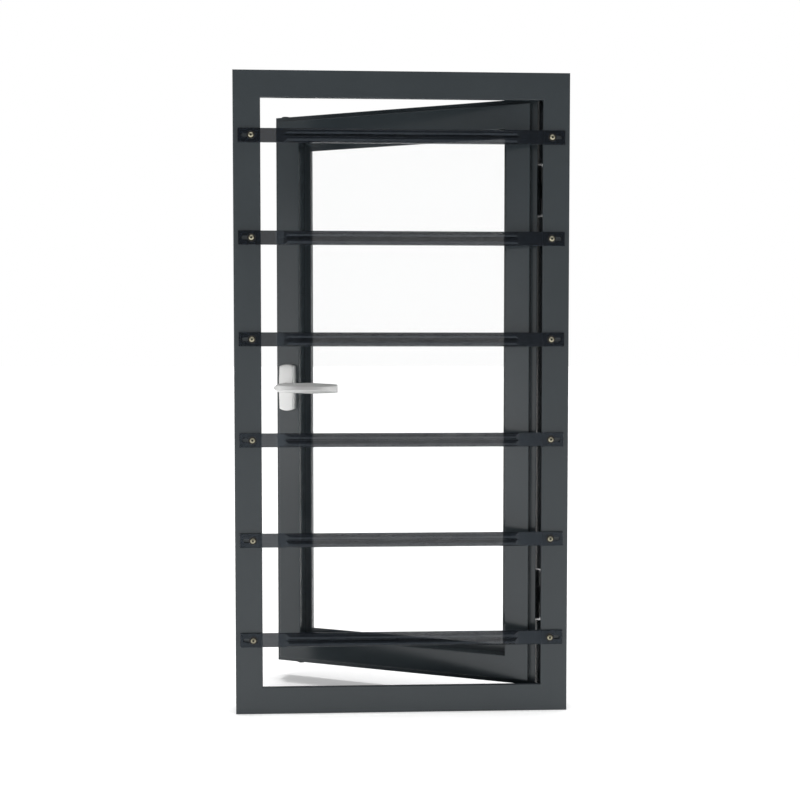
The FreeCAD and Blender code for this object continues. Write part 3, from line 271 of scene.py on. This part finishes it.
def moulded(name, colour, roughness, grain_pitch, depth):
    """Moulded or extruded polymer. Colour is the hex colour, 12 % lighter or darker by a fine
    noise; roughness follows a slow noise by a fifth; height is the fine noise, a spark-eroded
    mould's texture."""
    material = bpy.data.materials.new(name)
    material.use_nodes = True
    tree = material.node_tree
    tree.nodes.clear()
    place = add_node(tree, "ShaderNodeTexCoord").outputs["Object"]
    grain = add_node(tree, "ShaderNodeTexNoise", Vector=place, Scale=1 / grain_pitch, Detail=2.0)
    slow = add_node(tree, "ShaderNodeTexNoise", Vector=place, Scale=0.05 / grain_pitch, Detail=1.0)
    dark = [POLYMER_DARK * c for c in linear(colour)[:3]] + [1.0]
    light = [POLYMER_LIGHT * c for c in linear(colour)[:3]] + [1.0]
    tone = add_node(tree, "ShaderNodeMix", {"data_type": "RGBA"},
                    _0=grain.outputs["Fac"], _6=dark, _7=light)
    gloss = add_node(tree, "ShaderNodeMapRange", Value=slow.outputs["Fac"], From_Min=0.3,
                     From_Max=0.7, To_Min=0.8 * roughness, To_Max=1.2 * roughness)
    bump = add_node(tree, "ShaderNodeBump", Strength=0.4, Distance=depth,
                    Height=grain.outputs["Fac"])
    shader = add_node(tree, "ShaderNodeBsdfPrincipled", Base_Color=tone.outputs[2],
                      Roughness=gloss.outputs[0], Normal=bump.outputs[0])
    add_node(tree, "ShaderNodeOutputMaterial", Surface=shader.outputs[0])
    return material


# EPDM rubber: near black and matt, with a grey bloom.
epdm = moulded("epdm_rubber", "#131313", roughness=0.62, grain_pitch=RUBBER_GRAIN, depth=0.05 * MM)
dress(epdm, "frame_seal")
# Glass-filled nylon: black, with a low sheen off a spark-eroded mould.
nylon = moulded("nylon_black_moulded", "#0C0C0D", roughness=0.45, grain_pitch=NYLON_GRAIN,
                depth=0.04 * MM)
dress(nylon, "drain_caps")

# ---------------------------------------------------------------- bolt keepers
# Zinc-plated steel plates let over the bolt holes of the head and sill, each held by two small
# countersunk screws.

# Bright zinc on steel: cold silver with faint clouds.
zinc = bare_metal("steel_zinc_plated", "#B8BCC2", roughness=0.30, pitch=5 * MM,
                  stretch=EVEN, depth=0.01 * MM)
dress(zinc, "bolt_keeper_top", "bolt_keeper_bottom", "keeper_screws")

# ---------------------------------------------------------------- sash
# The opening leaf: four mitred aluminium extrusions with a flange and weather lap behind the
# frame's nose, and four beads that clip in outside the glass. Smoother powder than the frame's.

# Semi-gloss powder coat: it mirrors the frame beside it as broad soft shapes.
sash_coat = powder_coat("polyester_powder_coat_semigloss", ANTHRACITE, roughness=0.20, peel=0.08)
dress(sash_coat, "sash_top_rail", "sash_bottom_rail", "sash_lock_stile", "sash_hinge_stile",
      "glazing_bead_top", "glazing_bead_bottom", "glazing_bead_lock_side",
      "glazing_bead_hinge_side")

# ---------------------------------------------------------------- sealed unit
# Two float-glass panes round an aluminium spacer, standing on nylon packers and held between two
# flat EPDM gaskets.

# Float glass: clear and almost unseen square on, with a faint green-grey sheen at a glance.
float_glass = bpy.data.materials.new("glass_float_clear")
float_glass.use_nodes = True
tree = float_glass.node_tree
tree.nodes.clear()
place = add_node(tree, "ShaderNodeTexCoord").outputs["Object"]
wave = add_node(tree, "ShaderNodeTexNoise", Vector=place, Scale=4.0, Detail=1.0)
tint = add_node(tree, "ShaderNodeMix", {"data_type": "RGBA"}, _0=wave.outputs["Fac"],
                _6=linear("#D5E2DE"), _7=linear("#DEE9E6"))
glance = add_node(tree, "ShaderNodeLayerWeight", Blend=0.18)
film = add_node(tree, "ShaderNodeMapRange", Value=glance.outputs["Fresnel"], From_Min=0.0,
                From_Max=1.0, To_Min=0.006, To_Max=0.55)
roll = add_node(tree, "ShaderNodeBump", Strength=0.05, Distance=0.02 * MM,
                Height=wave.outputs["Fac"])
shader = add_node(tree, "ShaderNodeBsdfPrincipled", Base_Color=tint.outputs[2], Roughness=0.02,
                  IOR=1.52, Alpha=film.outputs[0], Normal=roll.outputs[0])
add_node(tree, "ShaderNodeOutputMaterial", Surface=shader.outputs[0])
dress(float_glass, "glass_inner_pane", "glass_outer_pane")

# Roll-formed spacer: dull grey aluminium.
spacer_metal = bare_metal("aluminium_spacer_matt", "#8F9193", roughness=0.50, pitch=1.2 * MM,
                          stretch=EVEN, depth=0.02 * MM)
dress(spacer_metal, "glass_spacer")
dress(epdm, "glazing_seal_inner", "glazing_seal_outer")
dress(nylon, "setting_blocks")

# ---------------------------------------------------------------- hinges
# Two butt hinges on the outside, each a pair of coated aluminium leaves on a steel pin, screwed
# down with countersunk screws. The pins have domed caps.

HINGE_X = 268 * MM
HINGE_Y = 32 * MM
HINGE_LEVELS = {"bottom": 200 * MM, "top": 950 * MM}
HINGE_HALF = 45 * MM
PIN_R = 3.5 * MM
PIN_CAP_R = 5.0 * MM
PIN_CAP = 1.5 * MM
SMOOTH_ANGLE = math.radians(38)
WELD = 0.001 * MM
SLIVER = 0.0005 * MM
DOME_DROP = 0.6
handle_joint = next(joint for joint in frame["joints"] if joint["name"] == "handle_turn")
SASH_OUT = np.array(handle_joint["axis"])
SASH_SIDE = np.array([SASH_OUT[1], -SASH_OUT[0], 0.0])


def finish_mesh(bm, name, material, body, stands_for):
    """Welds a mesh, turns its faces outward, shades it smooth but for its sharp edges, and makes
    it a piece that rides on a body and stands for CAD nodes."""
    bmesh.ops.remove_doubles(bm, verts=bm.verts, dist=WELD)
    bmesh.ops.dissolve_degenerate(bm, edges=bm.edges, dist=SLIVER)
    bmesh.ops.recalc_face_normals(bm, faces=bm.faces)
    mesh = bpy.data.meshes.new(name)
    bm.to_mesh(mesh)
    bm.free()
    if "custom_normal" in mesh.attributes:
        mesh.attributes.remove(mesh.attributes["custom_normal"])
    mesh.polygons.foreach_set("use_smooth", np.ones(len(mesh.polygons), bool))
    mesh.set_sharp_from_angle(angle=SMOOTH_ANGLE)
    mesh.materials.clear()
    mesh.materials.append(material)
    piece = bpy.data.objects.new(name, mesh)
    scene.collection.objects.link(piece)
    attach(piece, body)
    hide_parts(*stands_for)
    return piece


def smoothed(node, name, material, body):
    """A CAD node's own shape, welded, so that its round parts shade as round."""
    bm = bmesh.new()
    bm.from_mesh(nodes[node].data)
    return finish_mesh(bm, name, material, body, [node])


def grids_to_bmesh(grids):
    """Quads between neighbours on each grid of points (rows, columns, 3). A grid closes round
    its columns, so that each row is a ring."""
    bm = bmesh.new()
    for grid in grids:
        rows, columns, _ = grid.shape
        mesh = bpy.data.meshes.new("part")
        index = np.arange(rows * columns).reshape(rows, columns)
        right = np.roll(index, -1, axis=1)
        quads = np.stack([index[:-1], right[:-1], right[1:], index[1:]], axis=-1).reshape(-1, 4)
        mesh.from_pydata(grid.reshape(-1, 3).tolist(), [], quads.tolist())
        bm.from_mesh(mesh)
        bpy.data.meshes.remove(mesh)
    return bm


def lathe(profile, centre, across, up, along, steps=48):
    """Rings of a turned shape. A point at angle a on the profile's (radius r, height h) is
    centre + r cos a times across + r sin a times up + h times along."""
    r, h = np.array(profile, float).T
    a = np.arange(steps) * 2 * math.pi / steps
    ring = np.cos(a)[:, None] * np.array(across) + np.sin(a)[:, None] * np.array(up)
    return np.array(centre) + r[:, None, None] * ring + h[:, None, None] * np.array(along, float)


def pin_profile(radius, cap_r, cap, half):
    """Half height by radius of a pin with a domed cap at each end: the dome's height falls as
    the square of the radius over the cap's."""
    rim = np.linspace(0, 1, 7) * cap_r
    dome = half + cap * (1 - DOME_DROP * (rim / cap_r) ** 2)
    top = list(zip(rim, dome)) + [(cap_r, half), (radius, half)]
    return top + [(r, -h) for r, h in reversed(top)]


hinge_coat = powder_coat("polyester_powder_coat_hinge", "#2E3438", roughness=0.34, peel=0.15)
# Black oxide on steel: near black, with a dull glint.
black_steel = bare_metal("steel_black_oxide", "#202123", roughness=0.45, pitch=2 * MM,
                         stretch=EVEN, depth=0.01 * MM)
X, Y, Z = np.eye(3)
for place_name, level in HINGE_LEVELS.items():
    smoothed("hinge_frame_leaf_" + place_name, "frame_leaf_" + place_name, hinge_coat,
             "frame")
    smoothed("hinge_sash_leaf_" + place_name, "sash_leaf_" + place_name, hinge_coat,
             "sash")
    pin_shape = pin_profile(PIN_R, PIN_CAP_R, PIN_CAP, HINGE_HALF)
    pin = lathe(pin_shape, (HINGE_X, HINGE_Y, level), X, Y, Z)
    finish_mesh(grids_to_bmesh([pin]), "pin_" + place_name, black_steel, "frame",
                ["hinge_pin_" + place_name])

# Countersunk screws with a six-lobed drive, four to a leaf, driven in to the shoulder. Each
# is left at its own angle.
LEAF_SCREW_HEAD_R = 3.9 * MM
LEAF_SCREW_HEAD = 1.9 * MM
LEAF_SCREW_R = 2.0 * MM
LEAF_SCREW_LENGTH = 13 * MM
LEAF_SCREW_DX = 5 * MM
LEAF_SCREW_DZ = 28 * MM
LOBES_R = 1.5 * MM
LOBES_DEPTH = 1.1 * MM
LOBE_SWING = 0.14
FRAME_LEAF_X = 285.5 * MM
FRAME_LEAF_Y = 28 * MM
SASH_LEAF_REACH = -21 * MM
SASH_LEAF_BACK = 2 * MM
turns = np.random.default_rng(11)


def driven_screw(rings, drive, centre, across, up, along, turn, steps=72):
    """Rings (radius, depth, share) round an axis. The radius at angle a is the ring's own times
    1 - share + share times drive(a + turn), so a ring goes from round to the drive's shape."""
    r, h, share = np.array(rings, float).T
    a = np.arange(steps) * 2 * math.pi / steps
    shape = 1 - share[:, None] + share[:, None] * drive(a + turn)
    ring = np.cos(a)[:, None] * np.array(across) + np.sin(a)[:, None] * np.array(up)
    lift = h[:, None, None] * np.array(along, float)
    return np.array(centre) + (r[:, None] * shape)[..., None] * ring + lift


def six_lobes(a):
    """A star drive's edge: 1 plus the lobes' swing times the cosine of six times the angle."""
    return 1 + LOBE_SWING * np.cos(6 * a)


leaf_rings = [(0, -LOBES_DEPTH, 0), (0.9 * LOBES_R, -LOBES_DEPTH, 1), (LOBES_R, -0.1 * MM, 1),
              (1.07 * LOBES_R, 0, 1), (0.6 * LEAF_SCREW_HEAD_R, 0, 0),
              (0.96 * LEAF_SCREW_HEAD_R, 0, 0),
              (LEAF_SCREW_HEAD_R, -0.15 * MM, 0), (LEAF_SCREW_R, -LEAF_SCREW_HEAD, 0),
              (LEAF_SCREW_R, 0.5 * MM - LEAF_SCREW_LENGTH, 0), (0, -LEAF_SCREW_LENGTH, 0)]
frame_screws, sash_screws = [], []
for level in HINGE_LEVELS.values():
    for dx in (-LEAF_SCREW_DX, LEAF_SCREW_DX):
        for dz in (-LEAF_SCREW_DZ, LEAF_SCREW_DZ):
            centre = (FRAME_LEAF_X + dx, FRAME_LEAF_Y, level + dz)
            frame_screws.append(driven_screw(leaf_rings, six_lobes, centre, X, Z, Y,
                                             turns.uniform(0, 1)))
            centre = (np.array((HINGE_X, HINGE_Y, level + dz)) + (SASH_LEAF_REACH + dx) * SASH_SIDE
                      + SASH_LEAF_BACK * SASH_OUT)
            sash_screws.append(driven_screw(leaf_rings, six_lobes, centre, SASH_SIDE, Z,
                                            SASH_OUT, turns.uniform(0, 1)))
finish_mesh(grids_to_bmesh(frame_screws), "frame_leaf_screws", zinc, "frame",
            ["hinge_frame_screws"])
finish_mesh(grids_to_bmesh(sash_screws), "sash_leaf_screws", zinc, "sash",
            ["hinge_sash_screws"])

# ---------------------------------------------------------------- shoot-bolt lock
# A steel lock case in the stile with a pinion on the handle's spindle, which drives one toothed
# rod up and one down. The rods' round ends slide in nylon guides at the sash's edges.

dress(zinc, "lock_gearbox_case")
smoothed("handle_pinion", "lock_pinion", zinc, "handle")
smoothed("shoot_bolt_upper", "bolt_rod_upper", zinc, "upper_bolt")
smoothed("shoot_bolt_lower", "bolt_rod_lower", zinc, "lower_bolt")
smoothed("bolt_guides", "bolt_bushes", nylon, "sash")

# ---------------------------------------------------------------- handle
# A die-cast lever on a square steel spindle, turning in an oval-ended rose that snaps over a
# screwed steel base. Lever and rose are satin silver.

SPINDLE = np.array(handle_joint["pos_m"])


def at_handle(side, out, up):
    """Points from millimetres beside, out from and above the spindle at the frame's room face."""
    side, out, up = np.broadcast_arrays(side, out, up)
    return SPINDLE + MM * (side[..., None] * SASH_SIDE + out[..., None] * SASH_OUT
                           + up[..., None] * Z)


# Satin silver: a zinc casting, blasted and plated, with a tight even grain and a soft highlight.
SATIN_METALLIC = 0.7
satin_silver = bare_metal("zinc_casting_satin_silver", "#E0E0DF", roughness=0.40,
                          pitch=0.5 * MM, stretch=EVEN, depth=0.01 * MM)
satin_shader = satin_silver.node_tree.nodes["Principled BSDF"]
satin_shader.inputs["Metallic"].default_value = SATIN_METALLIC

LEVER_OUT = -44.0
LEVER_TIP = 120.0
LEVER_HEEL = -11.0
LEVER_RINGS = 96
LEVER_SIDES = 96
LEVER_SOFTNESS = 16.0
BEVEL_TILT = 0.95
BACK_BEVEL = 0.8
# Distance along the lever from the spindle, and at it: half its height, its depth in front of and
# behind its middle, and the bevels' share of the corner's distance.
HEIGHTS = [(-11, 0.7), (-9.5, 2.3), (-6, 4.9), (-2, 7.6), (6, 9.6), (24, 9.8), (38, 10.6),
           (58, 12.3), (72, 12.2), (92, 10.9), (112, 9.9), (120, 9.2)]
FRONTS = [(-11, 0.6), (-8, 2.6), (-3, 5.0), (4, 6.2), (40, 6.6), (80, 6.0), (106, 5.2),
          (114, 2.9), (120, 0.6)]
BACKS = [(-11, 0.6), (-8, 2.8), (-3, 5.4), (6, 6.6), (60, 6.2), (110, 5.0), (120, 4.2)]
BEVELS = [(-11, 1.0), (-8, 0.9), (4, 0.74), (20, 0.64), (42, 0.53), (60, 0.49), (88, 0.51),
          (108, 0.57), (120, 0.64)]


def lever_rings():
    """The lever's sections. At a distance s along it, the radius at angle a is the soft meeting
    of flat facets: one over the p-th root of the sum of (cos(a - n) / d) to the power p, where
    facet n lies d from the middle. d follows the tables of heights, fronts and backs, and the
    bevelled facets between them lie at a share of the corner's distance."""
    share = np.linspace(0, 1, LEVER_RINGS)
    s = LEVER_HEEL + (LEVER_TIP - LEVER_HEEL) * (1 - np.cos(math.pi * share)) / 2
    tall, front, back, bevel = [np.interp(s, *np.array(table, float).T)
                                for table in (HEIGHTS, FRONTS, BACKS, BEVELS)]
    smooth = np.ones(5) / 5
    tall, front, back, bevel = [np.convolve(np.pad(v, 2, mode="edge"), smooth, "valid")
                                for v in (tall, front, back, bevel)]
    a = np.arange(LEVER_SIDES) * 2 * math.pi / LEVER_SIDES
    flats = [(0.0, front), (math.pi, back), (math.pi / 2, tall), (-math.pi / 2, tall)]
    for sign in (-1, 1):
        n = BEVEL_TILT
        flats.append((sign * n, bevel * (front * math.cos(n) + tall * math.sin(n))))
        flats.append((math.pi - sign * n, BACK_BEVEL * (back * math.cos(n) + tall * math.sin(n))))
    total = sum(np.maximum(0, np.cos(a[None] - n) / d[:, None]) ** LEVER_SOFTNESS for n, d in flats)
    r = total ** (-1 / LEVER_SOFTNESS)
    rings = at_handle(s[:, None], LEVER_OUT - r * np.cos(a), r * np.sin(a))
    ends = at_handle(s[[0, -1], None] + 0 * a, LEVER_OUT - 0.2 + 0 * a, 0 * a)
    return np.concatenate([ends[:1], rings, ends[1:]])


# The neck's profile: radius, and how far out from the frame's room face.
NECK = [(0.0, -44.0), (7.6, -44.0), (8.0, -38.0), (8.4, -30.0), (8.8, -20.0), (9.2, -15.6),
        (9.5, -14.2), (9.5, -3.0), (0.0, -3.0)]
neck = lathe(np.array(NECK) * MM, SPINDLE, SASH_SIDE, Z, SASH_OUT, 64)
finish_mesh(grids_to_bmesh([lever_rings(), neck]), "lever", satin_silver, "handle",
            ["handle_lever"])

# The rose: a thin pressed cover, crowned from top to bottom, with arched ends and soft edges.
ROSE_HALF_W = 15.5
ROSE_HALF_H = 45.0
ROSE_ARCH = 3.5
ROSE_WAIST = 0.7
ROSE_FOOT = 1.0
ROSE_FRONT = -14.0
ROSE_CROWN = 1.8
ROSE_EDGE = 2.2
ROSE_HOLE = 9.6
ROSE_WALL = 1.2


def rose_outline(inset, count=60):
    """The cover's outline, inset: sides whose half width is w less the waist times (z / h)
    squared, joined by arched ends whose height falls as (x / w) squared."""
    w, h = ROSE_HALF_W - inset, ROSE_HALF_H - inset
    shoulder = h - ROSE_ARCH
    z = np.linspace(-shoulder, shoulder, count, endpoint=False)
    x_side = w - ROSE_WAIST * (z / shoulder) ** 2
    w_end = w - ROSE_WAIST
    x = np.linspace(w_end, -w_end, count // 2, endpoint=False)
    z_end = shoulder + ROSE_ARCH * (1 - (x / w_end) ** 2)
    return np.concatenate([np.stack([x_side, z], 1), np.stack([x, z_end], 1),
                           np.stack([-x_side, -z], 1), np.stack([-x, -z_end], 1)])


def rose_face(z):
    """Depth of the crowned front: the crown's drop times (z / h) squared, behind the middle."""
    return ROSE_FRONT + ROSE_CROWN * (z / ROSE_HALF_H) ** 2


rose = []
rim = rose_outline(0)
rose.append(at_handle(rim[:, 0], ROSE_FOOT, rim[:, 1]))
for turn in np.linspace(0, math.pi / 2, 7):
    ring = rose_outline(ROSE_EDGE * (1 - math.cos(turn)))
    depth = rose_face(ring[:, 1]) + ROSE_EDGE * (1 - math.sin(turn))
    rose.append(at_handle(ring[:, 0], depth, ring[:, 1]))
inner = rose_outline(ROSE_EDGE)
bearing = np.arctan2(inner[:, 1], inner[:, 0])
hole = ROSE_HOLE * np.stack([np.cos(bearing), np.sin(bearing)], 1)
for share in (0.25, 0.5, 0.75, 0.93, 1.0):
    ring = inner + share * (hole - inner)
    rose.append(at_handle(ring[:, 0], rose_face(ring[:, 1]), ring[:, 1]))
rose.append(at_handle(hole[:, 0], rose_face(hole[:, 1]) + ROSE_WALL, hole[:, 1]))
inside = rose_outline(ROSE_WALL)
rose.append(at_handle(inside[:, 0], rose_face(inside[:, 1]) + ROSE_WALL + ROSE_EDGE, inside[:, 1]))
rose.append(at_handle(inside[:, 0], ROSE_FOOT, inside[:, 1]))
rose.append(rose[0])
finish_mesh(grids_to_bmesh([np.stack(rose)]), "rose", satin_silver, "sash",
            ["handle_rose_cover"])
dress(zinc, "handle_rose_base", "handle_screws", "handle_spindle")

# ---------------------------------------------------------------- security bars
# Six bars extruded in smoked plastic, with two rounded ribs on the room side that are milled
# away at both ends, where a slot lets each bar be set level on its screws.

BAR_LEVELS = [1035, 855, 675, 495, 315, 135]
ROOM_FACE = -25.0
BAR_HALF_L = 291.0
BAR_HALF_H = 12.5
BAR_BASE = 4.0
BAR_RIB = 6.0
BAR_EDGE = 0.8
BAR_GROOVE = 1.0
BAR_LAND = 80.0
BAR_RUNOUT = 8.0
BAR_CHAMFER = 0.5
END_PLATE = 36.0
SLOT_FROM = 5.4
SLOT_TO = 28.9
SLOT_HALF_W = 3.5


def rib_heights(z):
    """Height of the ribs over the base at a height z from the bar's middle: each rib is a
    circle's arc, the root of R squared less (z - c) squared, less R - h, and never below 0."""
    half = (BAR_HALF_H - BAR_EDGE - BAR_GROOVE / 2) / 2
    centre = BAR_GROOVE / 2 + half
    radius = (half ** 2 + BAR_RIB ** 2) / (2 * BAR_RIB)
    lift = np.sqrt(np.maximum(0, radius ** 2 - (np.abs(z) - centre) ** 2)) - (radius - BAR_RIB)
    return np.where(np.abs(np.abs(z) - centre) <= half, np.maximum(0, lift), 0.0)


def front_heights():
    """Heights z across the front, crowded where a rib rises steeply: a cosine spacing."""
    half = (BAR_HALF_H - BAR_EDGE - BAR_GROOVE / 2) / 2
    lobe = half * -np.cos(np.linspace(0, math.pi, 15)) + BAR_GROOVE / 2 + half
    edge = BAR_HALF_H - BAR_CHAMFER
    return np.concatenate([[-edge], -lobe[::-1], lobe, [edge]])


def bar_body(level):
    """Rings of the ribbed length: at x the ribs stand min(rib, slope) over the base, where the
    slope rises from 0 to full over the run-out."""
    z = front_heights()
    rib_end = BAR_HALF_L - BAR_LAND
    run = rib_end - np.linspace(0, BAR_RUNOUT, 13)
    stations = np.concatenate([[BAR_HALF_L - END_PLATE], run])
    middle = np.linspace(BAR_RUNOUT - rib_end, rib_end - BAR_RUNOUT, 9)[1:-1]
    x = np.concatenate([-stations, middle, stations[::-1]])
    slope = BAR_RIB * np.clip((rib_end - np.abs(x)) / BAR_RUNOUT, 0, 1)
    lift = np.minimum(rib_heights(z)[None], slope[:, None])
    front = -BAR_BASE - lift
    shoulder = np.full((len(x), 1), BAR_CHAMFER - BAR_BASE)
    back = np.zeros((len(x), 1))
    depth = np.concatenate([back, shoulder, front, shoulder, back], axis=1)
    up = np.concatenate([[-BAR_HALF_H, -BAR_HALF_H], z, [BAR_HALF_H, BAR_HALF_H]])
    x, depth, up = np.broadcast_arrays(x[:, None], depth, up[None])
    return MM * np.stack([x, depth + ROOM_FACE, up + level], axis=-1)


def bar_end(level, sign):
    """An end plate with its slot. Rings go round both faces: from the slot's edge at the back,
    out to the plate's edge, over its chamfer, and in to the slot's edge at the front. The side
    that meets the ribbed length has the same heights as its rings."""
    z = front_heights()
    x_in, x_out = BAR_HALF_L - END_PLATE, BAR_HALF_L
    joint = np.concatenate([[-BAR_HALF_H], z, [BAR_HALF_H]])
    along = np.linspace(0, 1, 13)
    joint_x = np.full(len(joint), x_in)
    top_x = x_in + (x_out - x_in) * along[1:]
    top = np.stack([top_x, np.full(12, BAR_HALF_H)], 1)
    tip = np.stack([np.full(12, x_out), BAR_HALF_H * (1 - 2 * along[1:])], 1)
    bottom = np.stack([top_x[::-1][1:], np.full(11, -BAR_HALF_H)], 1)
    edge = np.concatenate([np.stack([joint_x, joint], 1), top, tip, bottom])
    chamfered = edge.copy()
    chamfered[:, 0] = np.minimum(edge[:, 0], x_out - BAR_CHAMFER)
    chamfered[:, 1] = np.clip(edge[:, 1], BAR_CHAMFER - BAR_HALF_H, BAR_HALF_H - BAR_CHAMFER)
    slot_x = np.array([x_out - SLOT_TO + SLOT_HALF_W, x_out - SLOT_FROM - SLOT_HALF_W])
    middle = np.array([slot_x.mean(), 0.0])
    bearing = np.arctan2(edge[:, 1] - middle[1], edge[:, 0] - middle[0])
    reach = np.ptp(slot_x) / 2
    wall = SLOT_HALF_W / np.maximum(np.abs(np.sin(bearing)), 1e-6)
    on_side = wall * np.abs(np.cos(bearing)) <= reach
    round_end = (reach * np.abs(np.cos(bearing))
                 + np.sqrt(np.maximum(0, SLOT_HALF_W ** 2 - (reach * np.sin(bearing)) ** 2)))
    far = np.where(on_side, wall, round_end)
    slot = middle + far[:, None] * np.stack([np.cos(bearing), np.sin(bearing)], 1)
    rings = [(slot, 0.0), (edge, 0.0), (edge, BAR_CHAMFER - BAR_BASE), (chamfered, -BAR_BASE)]
    rings += [(chamfered + share * (slot - chamfered), -BAR_BASE) for share in (0.35, 0.7, 1.0)]
    rings.append(rings[0])
    return MM * np.stack([np.stack([sign * plan[:, 0], np.full(len(plan), y + ROOM_FACE),
                                    plan[:, 1] + level], -1) for plan, y in rings])


def whole_bar(level):
    """One bar: its ribbed length and two end plates, with the walls between them taken out."""
    bm = grids_to_bmesh([bar_body(level), bar_end(level, -1), bar_end(level, 1)])
    bmesh.ops.remove_doubles(bm, verts=bm.verts, dist=WELD)
    seam = MM * (BAR_HALF_L - END_PLATE)
    inner = [f for f in bm.faces if all(abs(abs(v.co.x) - seam) < 0.01 * MM for v in f.verts)]
    bmesh.ops.delete(bm, geom=inner, context="FACES")
    return bm


# Smoked acrylic: nearly black, lets a little light through, and has a polished extruded skin
# that draws thin blue-grey lights along the ribs, with faint die lines.
DIE_LINE_PITCH = 1.1 * MM
SMOKE_ALPHA = 0.78
smoked = bpy.data.materials.new("acrylic_smoked_extruded")
smoked.use_nodes = True
tree = smoked.node_tree
tree.nodes.clear()
place = add_node(tree, "ShaderNodeTexCoord").outputs["Object"]
lines = add_node(tree, "ShaderNodeMapping", Vector=place, Scale=(0.01, 1.0, 1.0))
die = add_node(tree, "ShaderNodeTexNoise", Vector=lines.outputs[0],
               Scale=1 / DIE_LINE_PITCH, Detail=2.0)
smoke = add_node(tree, "ShaderNodeMix", {"data_type": "RGBA"}, _0=die.outputs["Fac"],
                 _6=linear("#06080D"), _7=linear("#0C1119"))
gloss = add_node(tree, "ShaderNodeMapRange", Value=die.outputs["Fac"], From_Min=0.3, From_Max=0.7,
                 To_Min=0.07, To_Max=0.14)
drawn = add_node(tree, "ShaderNodeBump", Strength=0.12, Distance=0.02 * MM,
                 Height=die.outputs["Fac"])
shader = add_node(tree, "ShaderNodeBsdfPrincipled", Base_Color=smoke.outputs[2],
                  Roughness=gloss.outputs[0], Normal=drawn.outputs[0], IOR=1.49, Alpha=SMOKE_ALPHA)
shader.inputs["Specular Tint"].default_value = (0.76, 0.88, 1.0, 1.0)
add_node(tree, "ShaderNodeOutputMaterial", Surface=shader.outputs[0])

for number, level in enumerate(BAR_LEVELS, start=1):
    finish_mesh(whole_bar(level), "bar_%d" % number, smoked, "frame",
                ["security_bar_%d" % number])

# ---------------------------------------------------------------- bar fasteners
# Each bar is held by a button-head socket screw at both ends, over a black nylon washer, tapped
# into the jamb. The sockets were left at whatever angle they stopped.

SCREW_X = 267.6
WASHER_R = 7.5
WASHER = 1.2
BUTTON_R = 5.7
BUTTON = 3.3
SHANK_R = 3.0
SHANK = 10.0
SOCKET = 4.0
SOCKET_DEPTH = 2.4
CUSHION = 0.30


def hexagon(a):
    """A hexagon's edge as a share of its inscribed circle: 1 over the cosine of the angle from
    the nearest flat's middle."""
    return 1 / np.cos((a + math.pi / 6) % (math.pi / 3) - math.pi / 6)


seat = ROOM_FACE - BAR_BASE - WASHER
dome_r = (BUTTON_R ** 2 + BUTTON ** 2) / (2 * BUTTON)
button = [(0, BUTTON - SOCKET_DEPTH, 0), (SOCKET / 2, BUTTON - SOCKET_DEPTH, 1),
          (SOCKET / 2, BUTTON - CUSHION, 1), (SOCKET / 2 + CUSHION, BUTTON - 0.15, 0.8)]
for share in (0.5, 0.62, 0.74, 0.85, 0.94, 1.0):
    r = share * BUTTON_R
    button.append((r, BUTTON - (dome_r - math.sqrt(dome_r ** 2 - r ** 2)), 0))
button += [(0.98 * BUTTON_R, 0, 0), (SHANK_R, 0, 0), (SHANK_R, -SHANK, 0), (0, -SHANK, 0)]
button = [(r * MM, h * MM, share) for r, h, share in button]
washer = [(SHANK_R + 0.05, 0.0), (WASHER_R - 0.3, 0.0), (WASHER_R, 0.3), (WASHER_R, WASHER - 0.4),
          (WASHER_R - 0.15, WASHER - 0.1), (WASHER_R - 0.5, WASHER),
          (WASHER_R - 1.2, WASHER - 0.12),
          (SHANK_R + 0.05, WASHER - 0.12), (SHANK_R + 0.05, 0.0)]
screws, washers = [], []
for level in BAR_LEVELS:
    for sign in (-1, 1):
        foot = MM * np.array((sign * SCREW_X, seat, level))
        screws.append(driven_screw(button, hexagon, foot, X, Z, -Y, turns.uniform(0, 1)))
        washers.append(lathe(np.array(washer) * MM, foot + WASHER * MM * Y, X, Z, -Y))

# Stainless steel with a light oil film: warm pale silver, turned finish. Colour is darkened with
# painted shade low on the head and down in the socket: its share falls in a line with the height.
stainless = bare_metal("stainless_steel_turned", "#ADA893", roughness=0.30, pitch=0.4 * MM,
                       stretch=EVEN, depth=0.01 * MM)
# Painted shade: the socket floor and the low rim of each head go down to 12 % of the steel's
# colour, standing in for the shadow in the socket.
PAINTED_SHADE_TONE = 0.12
PAINTED_SHADE_FROM = (seat - 1.8) * MM
PAINTED_SHADE_TO = (seat - 1.2) * MM
tree = stainless.node_tree
depth = add_node(tree, "ShaderNodeSeparateXYZ",
                 Vector=add_node(tree, "ShaderNodeTexCoord").outputs["Object"])
painted_shade = add_node(tree, "ShaderNodeMapRange", Value=depth.outputs["Y"], From_Min=PAINTED_SHADE_FROM,
                 From_Max=PAINTED_SHADE_TO, To_Min=1.0, To_Max=PAINTED_SHADE_TONE)
shader = tree.nodes["Principled BSDF"]
steel_tone = shader.inputs["Base Color"].links[0].from_socket
shaded_steel = add_node(tree, "ShaderNodeMix", {"data_type": "RGBA", "blend_type": "MULTIPLY"}, _0=1.0,
                 _6=steel_tone, _7=painted_shade.outputs[0])
tree.links.new(shaded_steel.outputs[2], shader.inputs["Base Color"])
finish_mesh(grids_to_bmesh(screws), "bar_button_screws", stainless, "frame",
            ["bar_screws"])
finish_mesh(grids_to_bmesh(washers), "bar_screw_washers", nylon, "frame",
            ["bar_washers"])
